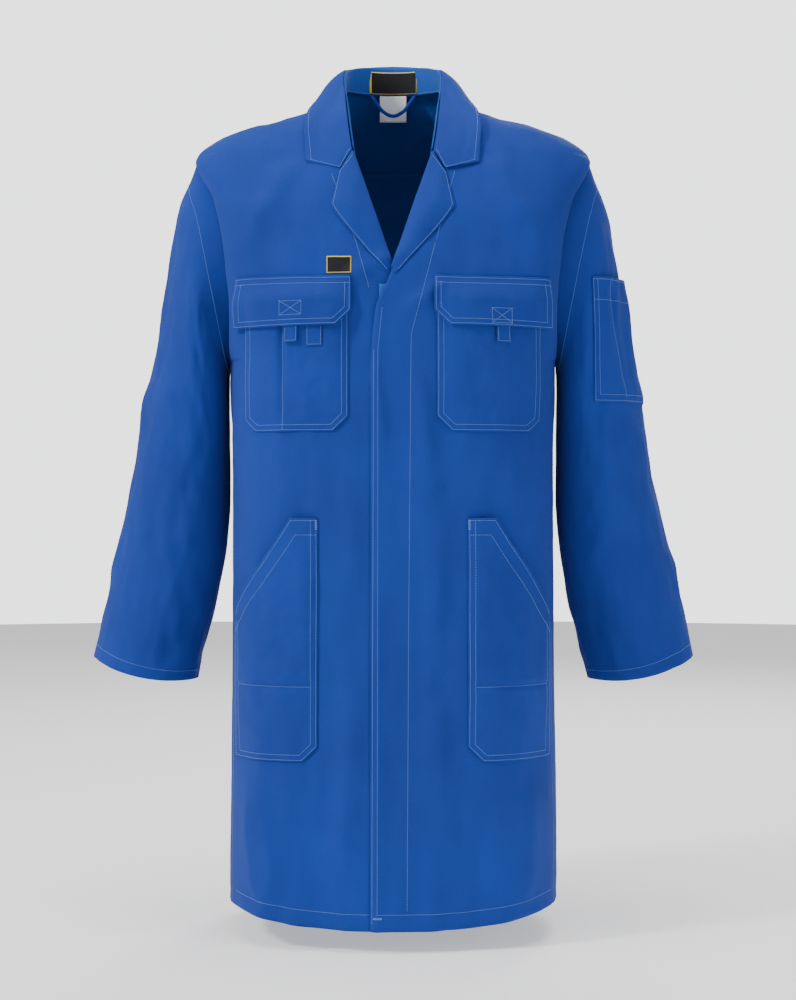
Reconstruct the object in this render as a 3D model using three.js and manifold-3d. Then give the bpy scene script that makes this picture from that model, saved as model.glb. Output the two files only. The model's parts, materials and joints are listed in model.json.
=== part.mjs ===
// Work coat with revers, a concealed front, two flap pockets, two hip pockets and a sleeve pocket.
// Millimetres, +Z up. The front faces -Y, the wearer's left is +X, z = 0 is the nape seam.
import * as THREE from "three";
import { mergeVertices } from "three/addons/utils/BufferGeometryUtils.js";
import Module from "manifold-3d";

const wasm = await Module();
wasm.setup();

// Body
const BACK_LENGTH = 1018;
const SHOULDER_HALF = 243;
const SHOULDER_DROP = 98;
const BODY_HALF = 198;
const CHEST_DEPTH = 131;
const HEM_DEPTH = 160;
const NECK_HALF = 62;
const NECK_DEPTH = 74;
const STAND_HEIGHT = 36;
const ARMHOLE_LENGTH = 250;
const ARMHOLE_DEPTH = 68;
const SECTION_POWER = 2.8;
// Cloth and seams
const CLOTH = 1.4;
const GAP = 0.5;
const LAYER = CLOTH + GAP;
const SPLIT_Z = -468;
const SIDE_SEAM = 0.85;
// Front
const LAP_HALF = 26;
const BREAK_Z = -238;
const GORGE = [49, -100];
const NOTCH = [62, -125];
const LAPEL_TIP = [74, -169];
const LAPEL_FOOT = [3, -252];
const COLLAR_TIP = [104, -114];
// Press studs
const STUD_COUNT = 6;
const STUD_TOP = -285;
const STUD_PITCH = 126;
const STUD_RADIUS = 6;
const STUD_HEIGHT = 1.4;
// Chest pockets
const CHEST_POCKET = { inner: 52, outer: 176, top: -284, bottom: -438, chamferIn: 18, chamferOut: 14 };
const FLAP = { inner: 49, outer: 186, top: -254, bottom: -314 };
const FLAP_CHAMFER = 18;
const PATCH = 20;
const PATCH_THICK = 1.1;
const CHEST_POUCH = 11;
const PULL_TAB = { left: 121, right: 110, width: 16, above: 5, below: 15, thick: 1 };
const POCKET_TAB = { inner: 82, width: 19, above: 2, below: 24 };
// Hip pockets
const HIP_POCKET = { inner: 87, outer: 186, top: -541, mouthEnd: -652, bottom: -828, chamferIn: 19 };
const HIP_MOUTH_INNER = 118;
const HIP_POUCH = 12;
// Sleeves
const SLEEVE_DROP = 642;
const SLEEVE_GAP = 5;
const SEAT_GAP = 0.5;
const SEAT_LEAN = 0.02;
const SEAM_TURN = 0.004;
const BICEP_WIDTH = 100;
const CUFF_WIDTH = 131;
const CUFF_DEPTH = 50;
const CUFF_SWING = 42;
const SLEEVE_POCKET_TOP = -248;
const SLEEVE_POCKET_LENGTH = 152;
const SLEEVE_POUCH = 8;
// Neck trim
const LABEL = { width: 60, height: 28 };
const CARE_LABEL = { width: 34, height: 34 };
const LOOP_HALF = 28;
const LOOP_DROP = 28;
const LOOP_RADIUS = 1.6;
const CHEST_LABEL = { inner: 49, outer: 78, top: -231, bottom: -251 };

// ---------------------------------------------------------------- helpers
const lerp = (a, b, t) => a + (b - a) * t;
const clamp = (x, lo = 0, hi = 1) => Math.min(hi, Math.max(lo, x));
const ease = (x) => {
  const t = clamp(x);
  return t * t * (3 - 2 * t);
};

// A smooth monotone curve through [x, value] stations.
function profile(points) {
  const p = [...points].sort((a, b) => a[0] - b[0]);
  const rise = p.slice(1).map((q, i) => (q[1] - p[i][1]) / (q[0] - p[i][0]));
  const slope = p.map((_, i) => {
    const before = rise[Math.max(0, i - 1)];
    const after = rise[Math.min(rise.length - 1, i)];
    return before * after <= 0 ? 0 : (2 * before * after) / (before + after);
  });
  return (value) => {
    const x = clamp(value, p[0][0], p.at(-1)[0]);
    let k = 0;
    while (k < p.length - 2 && x > p[k + 1][0]) k += 1;
    const h = p[k + 1][0] - p[k][0];
    const t = (x - p[k][0]) / h;
    const a = p[k][1] * (1 + 2 * t) * (1 - t) ** 2 + slope[k] * h * t * (1 - t) ** 2;
    return a + p[k + 1][1] * t * t * (3 - 2 * t) + slope[k + 1] * h * t * t * (t - 1);
  };
}

// ---------------------------------------------------------------- body form
const shoulderSpan = SHOULDER_HALF - NECK_HALF;
const armholeTop = -SHOULDER_DROP;
const armholeFoot = armholeTop - ARMHOLE_LENGTH;
const halfWidth = profile([
  [0, NECK_HALF],
  [-0.08 * SHOULDER_DROP, NECK_HALF + 8],
  [-0.36 * SHOULDER_DROP, NECK_HALF + 0.2 * shoulderSpan],
  [-0.78 * SHOULDER_DROP, NECK_HALF + 0.87 * shoulderSpan],
  [armholeTop, SHOULDER_HALF],
  [armholeTop - 0.23 * ARMHOLE_LENGTH, lerp(BODY_HALF, SHOULDER_HALF, 0.42)],
  [armholeTop - 0.5 * ARMHOLE_LENGTH, BODY_HALF + 5],
  [armholeTop - 0.75 * ARMHOLE_LENGTH, BODY_HALF],
  [armholeFoot, BODY_HALF + 2],
  [SPLIT_Z, BODY_HALF],
  [-BACK_LENGTH, BODY_HALF + 4],
]);
const frontDepth = profile([
  [0, 0.2 * CHEST_DEPTH],
  [-20, 0.31 * CHEST_DEPTH],
  [-50, 0.48 * CHEST_DEPTH],
  [armholeTop, 0.7 * CHEST_DEPTH],
  [-175, 0.89 * CHEST_DEPTH],
  [-262, 0.985 * CHEST_DEPTH],
  [armholeFoot, CHEST_DEPTH],
  [SPLIT_Z, CHEST_DEPTH],
  [-700, lerp(CHEST_DEPTH, HEM_DEPTH, 0.35)],
  [-BACK_LENGTH, HEM_DEPTH],
]);
const backDepth = profile([
  [0, NECK_DEPTH],
  [-25, NECK_DEPTH + 14],
  [-60, 0.8 * CHEST_DEPTH],
  [armholeTop, 0.89 * CHEST_DEPTH],
  [-175, 0.97 * CHEST_DEPTH],
  [-262, CHEST_DEPTH],
  [SPLIT_Z, 0.97 * CHEST_DEPTH],
  [-700, lerp(CHEST_DEPTH, HEM_DEPTH, 0.4)],
  [-BACK_LENGTH, HEM_DEPTH],
]);

function armDepth(z) {
  const r = (z - (armholeTop + armholeFoot) / 2) / (ARMHOLE_LENGTH / 2);
  return Math.max(GAP, ARMHOLE_DEPTH * Math.sqrt(Math.max(0, 1 - r * r)));
}

// face is -1 in front and 1 behind; q runs from 0 at the centre to 1 (or -1) at the side.
function bodyPoint(face, q, z) {
  const s = Math.sin((q * Math.PI) / 2);
  const round = Math.max(0, 1 - Math.abs(s) ** SECTION_POWER) ** (1 / SECTION_POWER);
  const b = face < 0 ? frontDepth(z) : backDepth(z);
  return new THREE.Vector3(halfWidth(z) * s, face * lerp(armDepth(z), b, round), z);
}

function bodyNormal(face, q, z) {
  const step = q > 0 ? -0.01 : 0.01;
  const at = bodyPoint(face, q, z);
  const across = bodyPoint(face, q + step, z).sub(at);
  const up = bodyPoint(face, q, z + 1).sub(bodyPoint(face, q, z - 1));
  const n = across.cross(up).normalize();
  return n.dot(new THREE.Vector3(at.x, at.y, 60)) < 0 ? n.negate() : n;
}

const onBody = (face, q, z, lift) => bodyPoint(face, q, z).addScaledVector(bodyNormal(face, q, z), lift);
const sideOf = (x, z) => Math.asin(clamp(x / halfWidth(z), -1, 1)) / (Math.PI / 2);
const onFront = (x, z, lift) => onBody(-1, sideOf(x, z), z, lift);

// How far the wearer's left front stands off the right one where the two lap.
const LAP_STACK = 2 * STUD_HEIGHT + 2 * CLOTH + 5 * GAP;
const lapLift = (x, z) => LAP_STACK * ease((66 - x) / 28) * ease((-200 - z) / 40);

// Inner edge of a front: straight down the lap, then the roll line, then the neck seam.
const frontEdge = profile([
  [-BACK_LENGTH, -LAP_HALF],
  [-365, -LAP_HALF],
  [-296, -0.8 * LAP_HALF],
  [LAPEL_FOOT[1], -LAPEL_FOOT[0]],
  [BREAK_Z, 1],
  [GORGE[1], GORGE[0]],
  [-50, 0.98 * NECK_HALF],
  [-8, NECK_HALF + 6],
]);
const sideSeam = (z) => lerp(SIDE_SEAM, 1, ease((z - SPLIT_Z) / (armholeFoot - SPLIT_Z)));

// ---------------------------------------------------------------- solids
function faceOut(geometry) {
  const p = geometry.getAttribute("position");
  const index = geometry.getIndex().array;
  const [a, b, c] = [new THREE.Vector3(), new THREE.Vector3(), new THREE.Vector3()];
  let volume = 0;
  for (let i = 0; i < index.length; i += 3) {
    a.fromBufferAttribute(p, index[i]);
    b.fromBufferAttribute(p, index[i + 1]);
    c.fromBufferAttribute(p, index[i + 2]);
    volume += a.dot(b.cross(c));
  }
  if (volume < 0) for (let i = 0; i < index.length; i += 3) index.subarray(i, i + 2).reverse();
  return geometry;
}

// A closed block of cloth: place(u, v, w) says where each of its points goes, each from 0 to 1.
function block(columns, rows, place) {
  const box = new THREE.BoxGeometry(1, 1, 1, columns, rows, 1);
  box.deleteAttribute("normal");
  box.deleteAttribute("uv");
  const geometry = mergeVertices(box);
  const p = geometry.getAttribute("position");
  for (let i = 0; i < p.count; i += 1) {
    const at = place(p.getX(i) + 0.5, 0.5 - p.getY(i), p.getZ(i) + 0.5);
    p.setXYZ(i, at.x, at.y, at.z);
  }
  return faceOut(geometry);
}

function toManifold(geometry) {
  const numProp = 3;
  const vertProperties = new Float32Array(geometry.getAttribute("position").array);
  const triVerts = new Uint32Array(geometry.getIndex().array);
  return new wasm.Manifold(new wasm.Mesh({ numProp, vertProperties, triVerts }));
}

// Cuts the inner block from the outer one and keeps the one solid that is left, without any shavings.
function cut(outer, inner) {
  const bodies = toManifold(outer).subtract(toManifold(inner)).decompose();
  const mesh = bodies.sort((a, b) => b.volume() - a.volume())[0].getMesh();
  const geometry = new THREE.BufferGeometry();
  geometry.setAttribute("position", new THREE.BufferAttribute(new Float32Array(mesh.vertProperties), 3));
  geometry.setIndex(new THREE.BufferAttribute(new Uint32Array(mesh.triVerts), 1));
  return geometry;
}

// ---------------------------------------------------------------- materials
const paint = (color, roughness = 0.85, metalness = 0) =>
  new THREE.MeshStandardMaterial({ color, roughness, metalness });
const CLOTH_BLUE = 0x1f50a0;
const INSIDE_BLUE = 0x17407f;

const coat = new THREE.Group();
const body = new THREE.Group();
const leftOpening = new THREE.Group();
const rightOpening = new THREE.Group();
const leftArm = new THREE.Group();
const rightArm = new THREE.Group();
coat.add(body, leftOpening, rightOpening, leftArm, rightArm);

// Each piece is drawn about its own middle and set in place by its position.
function add(group, name, geometry, material) {
  geometry.computeBoundingBox();
  const middle = geometry.boundingBox.getCenter(new THREE.Vector3());
  geometry.translate(-middle.x, -middle.y, -middle.z);
  const mesh = new THREE.Mesh(geometry, material);
  mesh.name = name;
  mesh.position.copy(middle);
  group.add(mesh);
}

const SIDES = [
  { name: "left", x: 1, opening: leftOpening, arm: leftArm },
  { name: "right", x: -1, opening: rightOpening, arm: rightArm },
];

// ---------------------------------------------------------------- shell
const spaced = (from, to, count) => Array.from({ length: count + 1 }, (_, i) => lerp(from, to, i / count));
const armholeRows = Array.from({ length: 11 }, (_, i) => {
  const angle = (Math.PI * i) / 10;
  return (armholeTop + armholeFoot) / 2 - (ARMHOLE_LENGTH / 2) * Math.cos(angle);
});
const rowAt = (rows, v) => rows[Math.round(v * (rows.length - 1))];

function backPanel() {
  const rows = [...spaced(-BACK_LENGTH, SPLIT_Z, 7), ...spaced(SPLIT_Z, armholeFoot, 3).slice(1, -1)];
  rows.push(...armholeRows.slice(0, -1), armholeTop + 6);
  return block(20, rows.length - 1, (u, v, w) => {
    const z = rowAt(rows, v);
    const across = (2 * u - 1) * (2 - sideSeam(z) - 0.0015);
    const turn = Math.abs(across) > 1;
    const q = turn ? Math.sign(across) * (2 - Math.abs(across)) : across;
    return onBody(turn ? -1 : 1, q, z, w * CLOTH);
  });
}

function backYoke() {
  const rows = spaced(armholeTop + 6 + GAP, -1, 7);
  return block(20, rows.length - 1, (u, v, w) => onBody(1, 2 * u - 1, rowAt(rows, v), w * CLOTH));
}

function frontPanel(side, rows) {
  return block(14, rows.length - 1, (u, v, w) => {
    const z = rowAt(rows, v);
    const inner = sideOf(frontEdge(z), z);
    const q = lerp(inner, sideSeam(z) - 0.0015, u);
    const lift = side.x > 0 ? lapLift(halfWidth(z) * Math.sin((q * Math.PI) / 2), z) : 0;
    return onBody(-1, side.x * q, z, lift + w * CLOTH);
  });
}

function flyStrip(top, bottom) {
  const half = LAP_HALF - 8;
  const lift = LAP_STACK - LAYER;
  return block(4, 8, (u, v, w) => onFront(lerp(-half, half, u), lerp(top, bottom, v), lift + w * CLOTH));
}

const chestRows = [...spaced(SPLIT_Z + GAP, armholeFoot, 4).slice(0, -1), ...armholeRows];
chestRows.push(...spaced(armholeTop, -10, 5).slice(1));
const skirtRows = spaced(-BACK_LENGTH, SPLIT_Z - GAP, 9);
add(body, "back_panel", backPanel(), paint(CLOTH_BLUE));
add(body, "back_yoke", backYoke(), paint(CLOTH_BLUE));
for (const side of SIDES) {
  add(body, `front_chest_${side.name}`, frontPanel(side, chestRows), paint(CLOTH_BLUE));
  add(side.opening, `front_skirt_${side.name}`, frontPanel(side, skirtRows), paint(CLOTH_BLUE));
}
add(body, "fly_strip_chest", flyStrip(-262, SPLIT_Z + GAP), paint(INSIDE_BLUE));
add(leftOpening, "fly_strip_skirt", flyStrip(SPLIT_Z - GAP, 20 - BACK_LENGTH), paint(INSIDE_BLUE));

// ---------------------------------------------------------------- press studs
function stud(z, lift, height) {
  const n = bodyNormal(-1, 0.001, z);
  const profileOfCap = [
    [0, 0],
    [STUD_RADIUS, 0],
    [STUD_RADIUS, 0.6 * height],
    [0.75 * STUD_RADIUS, height],
    [0, height],
  ].map(([r, h]) => new THREE.Vector2(r, h));
  const cap = new THREE.LatheGeometry(profileOfCap, 12);
  cap.deleteAttribute("normal");
  cap.deleteAttribute("uv");
  const turn = new THREE.Quaternion().setFromUnitVectors(new THREE.Vector3(0, 1, 0), n);
  cap.applyQuaternion(turn);
  const at = onFront(0, z, lift);
  cap.translate(at.x, at.y, at.z);
  return faceOut(mergeVertices(cap));
}

for (let i = 0; i < STUD_COUNT; i += 1) {
  const z = STUD_TOP - i * STUD_PITCH;
  const low = z < SPLIT_Z;
  const steel = paint(0xb8bcc2, 0.3, 1);
  add(low ? rightOpening : body, `press_stud_${i + 1}`, stud(z, LAYER, STUD_HEIGHT), steel);
  const lift = LAYER + STUD_HEIGHT + GAP;
  add(low ? leftOpening : body, `press_socket_${i + 1}`, stud(z, lift, STUD_HEIGHT), steel);
}

// ---------------------------------------------------------------- revers and collar
function lapel(side) {
  const roll = (v) => [lerp(GORGE[0], 0, v), lerp(GORGE[1] - 1, BREAK_Z - 6, v)];
  const leaf = (v) => {
    if (v < 0.4) return [lerp(NOTCH[0] + 1, LAPEL_TIP[0], v / 0.4), lerp(NOTCH[1] - 2, LAPEL_TIP[1], v / 0.4)];
    const t = (v - 0.4) / 0.6;
    return [lerp(LAPEL_TIP[0], 2, t ** 1.15), lerp(LAPEL_TIP[1], LAPEL_FOOT[1], t)];
  };
  return block(6, 10, (u, v, w) => {
    const [ax, az] = roll(v);
    const [bx, bz] = leaf(v);
    const x = lerp(ax, bx, u);
    const z = lerp(az, bz, u);
    const soft = 4 * Math.sin(Math.PI * u) * Math.sin(Math.PI * v);
    const lift = (side.x > 0 ? lapLift(x, z) : 0) + LAYER + 1.6 + soft;
    return onFront(side.x * x, z, lift + w * CLOTH);
  });
}

// Guide curves of the collar, from the nape (0) round to the front end (1), for the left side.
function guide(points) {
  const spline = new THREE.CatmullRomCurve3(points.map((p) => new THREE.Vector3(...p)), false, "centripetal");
  return (t) => spline.getPoint(clamp(t));
}
const frontXYZ = (x, z, lift) => onFront(x, z, lift).toArray();
const foldLine = guide([
  [0, NECK_DEPTH - 4, STAND_HEIGHT],
  [0.4 * NECK_HALF, 0.88 * NECK_DEPTH, STAND_HEIGHT - 1],
  [0.82 * NECK_HALF, 0.56 * NECK_DEPTH, 0.8 * STAND_HEIGHT],
  [NECK_HALF + 1, 2, 0.36 * STAND_HEIGHT],
  [NECK_HALF - 4, -44, -38],
  frontXYZ(GORGE[0], GORGE[1], LAYER + 1),
]);
const neckSeam = guide([
  [0, NECK_DEPTH - 3, 0],
  [0.42 * NECK_HALF, 0.9 * NECK_DEPTH, -1],
  [0.84 * NECK_HALF, 0.56 * NECK_DEPTH, -3],
  [NECK_HALF, 2, -12],
  [NECK_HALF - 7, -38, -58],
  frontXYZ(GORGE[0] - 2, GORGE[1] - 8, LAYER),
]);
const collarEdge = guide([
  onBody(1, 0, -30, 6).toArray(),
  onBody(1, 0.36, -31, 6).toArray(),
  onBody(1, 0.7, -33, 6).toArray(),
  onBody(1, sideOf(99, -35), -31, 9).toArray(),
  frontXYZ(106, -66, 9),
  frontXYZ(COLLAR_TIP[0], COLLAR_TIP[1], LAYER),
]);
const collarFold = (t) => {
  const at = foldLine(t);
  return { at, away: new THREE.Vector3(at.x, at.y, 0).normalize() };
};

// Moves a point out of the body, so that it stands off it by the lift at least.
function clearOfBody(p, lift) {
  const face = p.y < 0 ? -1 : 1;
  const wall = onBody(face, sideOf(p.x, p.z), p.z, lift).y;
  p.y = face < 0 ? Math.min(p.y, wall) : Math.max(p.y, wall);
  return p;
}

function collarPoint(t, v, lift) {
  const { at, away } = collarFold(t);
  const edge = collarEdge(t);
  const notch = new THREE.Vector3(...frontXYZ(NOTCH[0], NOTCH[1] + 2, LAYER));
  const start = at.clone().addScaledVector(away, 1).add(new THREE.Vector3(0, 0, lerp(GAP + 2, 0.5, t)));
  const straight = start.clone().lerp(edge, v);
  const ended = v < 0.45 ? start.clone().lerp(notch, v / 0.45) : notch.clone().lerp(edge, (v - 0.45) / 0.55);
  const end = ease((t - 0.72) / 0.28);
  const p = straight.lerp(ended, end);
  const belly = Math.sin(Math.PI * v) * lerp(9, 2.5, ease((t - 0.3) / 0.6));
  p.addScaledVector(away, belly + lift).add(new THREE.Vector3(0, 0, 0.5 * belly * (1 - v) + 0.6 * lift));
  return clearOfBody(p, LAYER + 3.4 + lift);
}

function upperCollar() {
  return block(40, 5, (u, v, w) => {
    const side = u < 0.5 ? -1 : 1;
    const t = Math.abs(2 * u - 1);
    const p = collarPoint(t, v, w * CLOTH);
    return new THREE.Vector3(side * p.x, p.y, p.z);
  });
}

function collarStand() {
  return block(32, 2, (u, v, w) => {
    const side = u < 0.5 ? -1 : 1;
    const t = 0.985 * Math.abs(2 * u - 1);
    const p = neckSeam(t).lerp(foldLine(t), v);
    const away = new THREE.Vector3(p.x, p.y, 0).normalize();
    p.addScaledVector(away, (w - 2.2) * CLOTH);
    return new THREE.Vector3(side * p.x, p.y, p.z);
  });
}

for (const side of SIDES) add(body, `lapel_${side.name}`, lapel(side), paint(CLOTH_BLUE));
add(body, "upper_collar", upperCollar(), paint(CLOTH_BLUE));
add(body, "collar_stand", collarStand(), paint(INSIDE_BLUE));

// ---------------------------------------------------------------- chest pockets
const pocketMiddle = (CHEST_POCKET.inner + CHEST_POCKET.outer) / 2;
const pocketHalf = (CHEST_POCKET.outer - CHEST_POCKET.inner) / 2;
const pillow = (x) => Math.max(0, 1 - Math.abs((x - pocketMiddle) / pocketHalf) ** 4);
const pouchLift = (x, z) => {
  const v = clamp((CHEST_POCKET.top - z) / (CHEST_POCKET.top - CHEST_POCKET.bottom));
  return CHEST_POUCH * pillow(x) * (1 - v ** 4);
};
const underLeft = (side, x, z) => (side.x > 0 ? lapLift(x, z) : 0);
const POCKET_BASE = LAYER + 0.5;
const pocketTopLift = (x, z) => POCKET_BASE + pouchLift(x, z) + CLOTH;
const flapLift = (x, z) => {
  const open = ease((FLAP.top - z) / (FLAP.top - CHEST_POCKET.top));
  return POCKET_BASE + open * (CHEST_POUCH * pillow(x) + LAYER + (2 * PATCH_THICK + 3 * GAP) * pillow(x));
};

function pocketBlock(side, inset, low, high, over) {
  const p = CHEST_POCKET;
  return block(9, 9, (u, v, w) => {
    const x = lerp(p.inner + inset, p.outer - inset, u);
    const chamfer = p.chamferIn * clamp(1 - (x - p.inner) / p.chamferIn) +
      p.chamferOut * clamp(1 - (p.outer - x) / p.chamferOut);
    const z = lerp(p.top + over, p.bottom + inset + chamfer, v);
    const lift = underLeft(side, x, z) + (w < 0.5 ? low : high(x, z));
    return onFront(side.x * x, z, lift);
  });
}

function chestPocket(side) {
  const outer = pocketBlock(side, 0, POCKET_BASE, (x, z) => pocketTopLift(x, z), 0);
  const inner = pocketBlock(side, 2.5, POCKET_BASE - 1, (x, z) => pocketTopLift(x, z) - CLOTH, 6);
  return cut(outer, inner);
}

function flap(side) {
  return block(10, 5, (u, v, w) => {
    const x = lerp(FLAP.inner, FLAP.outer, u);
    const foot = FLAP.bottom + FLAP_CHAMFER * clamp(1 - (x - FLAP.inner) / FLAP_CHAMFER);
    const z = lerp(FLAP.top, foot, v);
    return onFront(side.x * x, z, underLeft(side, x, z) + flapLift(x, z) + w * CLOTH);
  });
}

// A flat piece of trim laid on the front between two x and two z, at a lift of its own.
function trim(side, inner, outer, top, bottom, thick, liftAt) {
  return block(2, 2, (u, v, w) => {
    const x = lerp(inner, outer, u);
    const z = lerp(top, bottom, v);
    return onFront(side.x * x, z, underLeft(side, x, z) + liftAt(x, z) + w * thick);
  });
}

for (const side of SIDES) {
  const patchIn = pocketMiddle - PATCH / 2;
  const patchTop = FLAP.bottom + 6 + PATCH;
  const onPouch = (x, z) => pocketTopLift(x, z) + GAP;
  const underFlap = (x, z) => flapLift(x, z) - GAP - PATCH_THICK;
  const patchOf = (liftAt) =>
    trim(side, patchIn, patchIn + PATCH, patchTop, patchTop - PATCH, PATCH_THICK, liftAt);
  add(body, `chest_pocket_${side.name}`, chestPocket(side), paint(CLOTH_BLUE));
  add(body, `pocket_flap_${side.name}`, flap(side), paint(CLOTH_BLUE));
  add(body, `loop_patch_${side.name}`, patchOf(onPouch), paint(0x16366f, 0.95));
  add(body, `hook_patch_${side.name}`, patchOf(underFlap), paint(0x16366f, 0.95));
  const { width, above, below, thick } = PULL_TAB;
  const tabIn = PULL_TAB[side.name];
  const tabLift = (x, z) => flapLift(x, z) - thick - 0.7;
  const tab = trim(side, tabIn, tabIn + width, FLAP.bottom + above, FLAP.bottom - below, thick, tabLift);
  add(body, `pull_tab_${side.name}`, tab, paint(CLOTH_BLUE));
}
const lowerTab = trim(
  SIDES[1],
  POCKET_TAB.inner,
  POCKET_TAB.inner + POCKET_TAB.width,
  FLAP.bottom + POCKET_TAB.above,
  FLAP.bottom - POCKET_TAB.below,
  PULL_TAB.thick,
  (x, z) => pocketTopLift(x, z) + GAP,
);
add(body, "pocket_tab_right", lowerTab, paint(CLOTH_BLUE));
const { inner: labelIn, outer: labelOut, top: labelTop, bottom: labelFoot } = CHEST_LABEL;
const badge = trim(SIDES[1], labelIn, labelOut, labelTop, labelFoot, 0.8, () => LAYER);
add(body, "chest_label", badge, paint(0x15161a, 0.7));

// ---------------------------------------------------------------- hip pockets
const hipTop = (x) => {
  const t = clamp((x - HIP_MOUTH_INNER) / (HIP_POCKET.outer - HIP_MOUTH_INNER));
  return lerp(HIP_POCKET.top, HIP_POCKET.mouthEnd, t);
};
const hipPillow = (x, z) => {
  const u = clamp((x - HIP_POCKET.inner) / (HIP_POCKET.outer - HIP_POCKET.inner));
  const v = clamp((HIP_POCKET.top - z) / (HIP_POCKET.top - HIP_POCKET.bottom));
  return HIP_POUCH * (1 - Math.abs(2 * u - 1) ** 4) * (1 - v ** 6);
};

function hipBlock(side, inset, low, high, over) {
  const p = HIP_POCKET;
  return block(9, 10, (u, v, w) => {
    const x = lerp(p.inner + inset, p.outer - inset, u);
    const chamfer = p.chamferIn * clamp(1 - (x - p.inner) / p.chamferIn);
    const z = lerp(hipTop(x) + over, p.bottom + inset + chamfer, v);
    return onFront(side.x * x, z, w < 0.5 ? low : high(x, z));
  });
}

function hipPocket(side) {
  const outer = hipBlock(side, 0, POCKET_BASE, (x, z) => POCKET_BASE + hipPillow(x, z) + CLOTH, 0);
  const inner = hipBlock(side, 2.5, POCKET_BASE - 1, (x, z) => POCKET_BASE + hipPillow(x, z), 8);
  return cut(outer, inner);
}

for (const side of SIDES) {
  add(side.opening, `hip_pocket_${side.name}`, hipPocket(side), paint(CLOTH_BLUE));
}

// ---------------------------------------------------------------- sleeves
const sleeveIn = profile([
  [0, BODY_HALF + SLEEVE_GAP + CLOTH],
  [0.45, BODY_HALF + SLEEVE_GAP + CLOTH],
  [0.6, BODY_HALF + SLEEVE_GAP + CLOTH + 4],
  [1, BODY_HALF + SLEEVE_GAP + CUFF_SWING],
]);
const sleeveWidth = profile([
  [0, SHOULDER_HALF - BODY_HALF - SLEEVE_GAP + 2],
  [0.1, 0.72 * BICEP_WIDTH],
  [0.3, BICEP_WIDTH],
  [0.6, 1.12 * BICEP_WIDTH],
  [1, CUFF_WIDTH],
]);
const sleeveDepth = profile([
  [0, ARMHOLE_DEPTH],
  [0.15, ARMHOLE_DEPTH + 8],
  [0.5, ARMHOLE_DEPTH],
  [1, CUFF_DEPTH],
]);
// The sleeve head stands further off the more the shoulder reaches past the body.
const seatGap = SEAT_GAP + SEAT_LEAN * (SHOULDER_HALF - BODY_HALF);
const sleeveInZ = (t) => lerp(armholeFoot, armholeTop - SLEEVE_DROP - 2, t ** 1.08);
const sleeveOutZ = (t) => lerp(armholeTop, armholeTop - SLEEVE_DROP + 26, t);

// angle 0 is the outer top of the arm, 180 the underarm; +90 faces back.
function sleevePoint(side, angle, t, lift) {
  const [c, s] = [Math.cos(angle), Math.sin(angle)];
  const half = sleeveWidth(t) / 2;
  const middle = sleeveIn(t) + half;
  const back = 12 * ease(t / 0.5);
  const along = (c + 1) / 2;
  const z = lerp(sleeveInZ(t), sleeveOutZ(t), along) - 10 * t * (1 - c * c);
  const x = middle + (half + lift) * c;
  const y = back + (sleeveDepth(t) + lift) * s;
  const seam = halfWidth(lerp(armholeFoot, armholeTop, along)) + LAYER + seatGap + lift;
  const seated = t < 0.09 ? lerp(x, seam, (1 - t / 0.09) ** 2) : x;
  return new THREE.Vector3(side.x * seated, y, z);
}

// The front (-1) or back (1) half of a sleeve, between the seams at the top and under the arm.
function sleeveHalf(side, face) {
  return block(12, 18, (u, v, w) => {
    const angle = face * lerp(SEAM_TURN, Math.PI - SEAM_TURN, u);
    return sleevePoint(side, angle, v ** 1.25, (w - 1) * CLOTH);
  });
}

for (const side of SIDES) {
  add(side.arm, `sleeve_front_${side.name}`, sleeveHalf(side, -1), paint(CLOTH_BLUE));
  add(side.arm, `sleeve_back_${side.name}`, sleeveHalf(side, 1), paint(CLOTH_BLUE));
}

// Pen pocket on the outside of the wearer's left sleeve, with a band across its top.
const POCKET_FRONT = [-0.44, -0.52];
const POCKET_BACK = 0.25;
const penLift = (u, v) => SLEEVE_POUCH * (1 - Math.abs(2 * u - 1) ** 4) * (1 - v ** 4);

// How far down the sleeve a height is reached along one angle.
function sleeveT(angle, z) {
  let [low, high] = [0, 1];
  for (let i = 0; i < 30; i += 1) {
    const t = (low + high) / 2;
    if (sleevePoint(SIDES[0], angle, t, 0).z > z) low = t;
    else high = t;
  }
  return low;
}

function penBlock(inset, low, high, over) {
  return block(9, 9, (u, v, w) => {
    const uu = lerp(inset / 110, 1 - inset / 110, u);
    const z = SLEEVE_POCKET_TOP + lerp(over, inset - SLEEVE_POCKET_LENGTH, v);
    const vv = clamp((SLEEVE_POCKET_TOP - z) / (SLEEVE_POCKET_LENGTH - inset));
    const angle = lerp(lerp(...POCKET_FRONT, vv), POCKET_BACK, uu) * Math.PI;
    return sleevePoint(SIDES[0], angle, sleeveT(angle, z), w < 0.5 ? low : high(uu, vv));
  });
}

const PEN_BASE = 1.3;
const penOuter = penBlock(0, PEN_BASE, (u, v) => PEN_BASE + penLift(u, v) + CLOTH, 0);
const penInner = penBlock(2.5, 0.5, (u, v) => PEN_BASE + penLift(u, v), 6);
add(leftArm, "sleeve_pocket", cut(penOuter, penInner), paint(CLOTH_BLUE));

// ---------------------------------------------------------------- neck trim
function neckTrim(width, top, bottom, thick, depthIn) {
  return block(4, 2, (u, v, w) => {
    const x = lerp(-width / 2, width / 2, u);
    const z = lerp(top, bottom, v);
    const wall = NECK_DEPTH - 4 - 2.2 * CLOTH - 0.0068 * x * x - depthIn;
    return new THREE.Vector3(x, wall - w * thick, z);
  });
}
add(body, "neck_label", neckTrim(LABEL.width, 1 + LABEL.height, 1, 0.7, 2.6), paint(0x15161a, 0.7));
const careTop = -1;
const care = neckTrim(CARE_LABEL.width, careTop, careTop - CARE_LABEL.height, 0.6, 1.4);
add(body, "care_label", care, paint(0xd9dbe0, 0.7));

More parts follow.
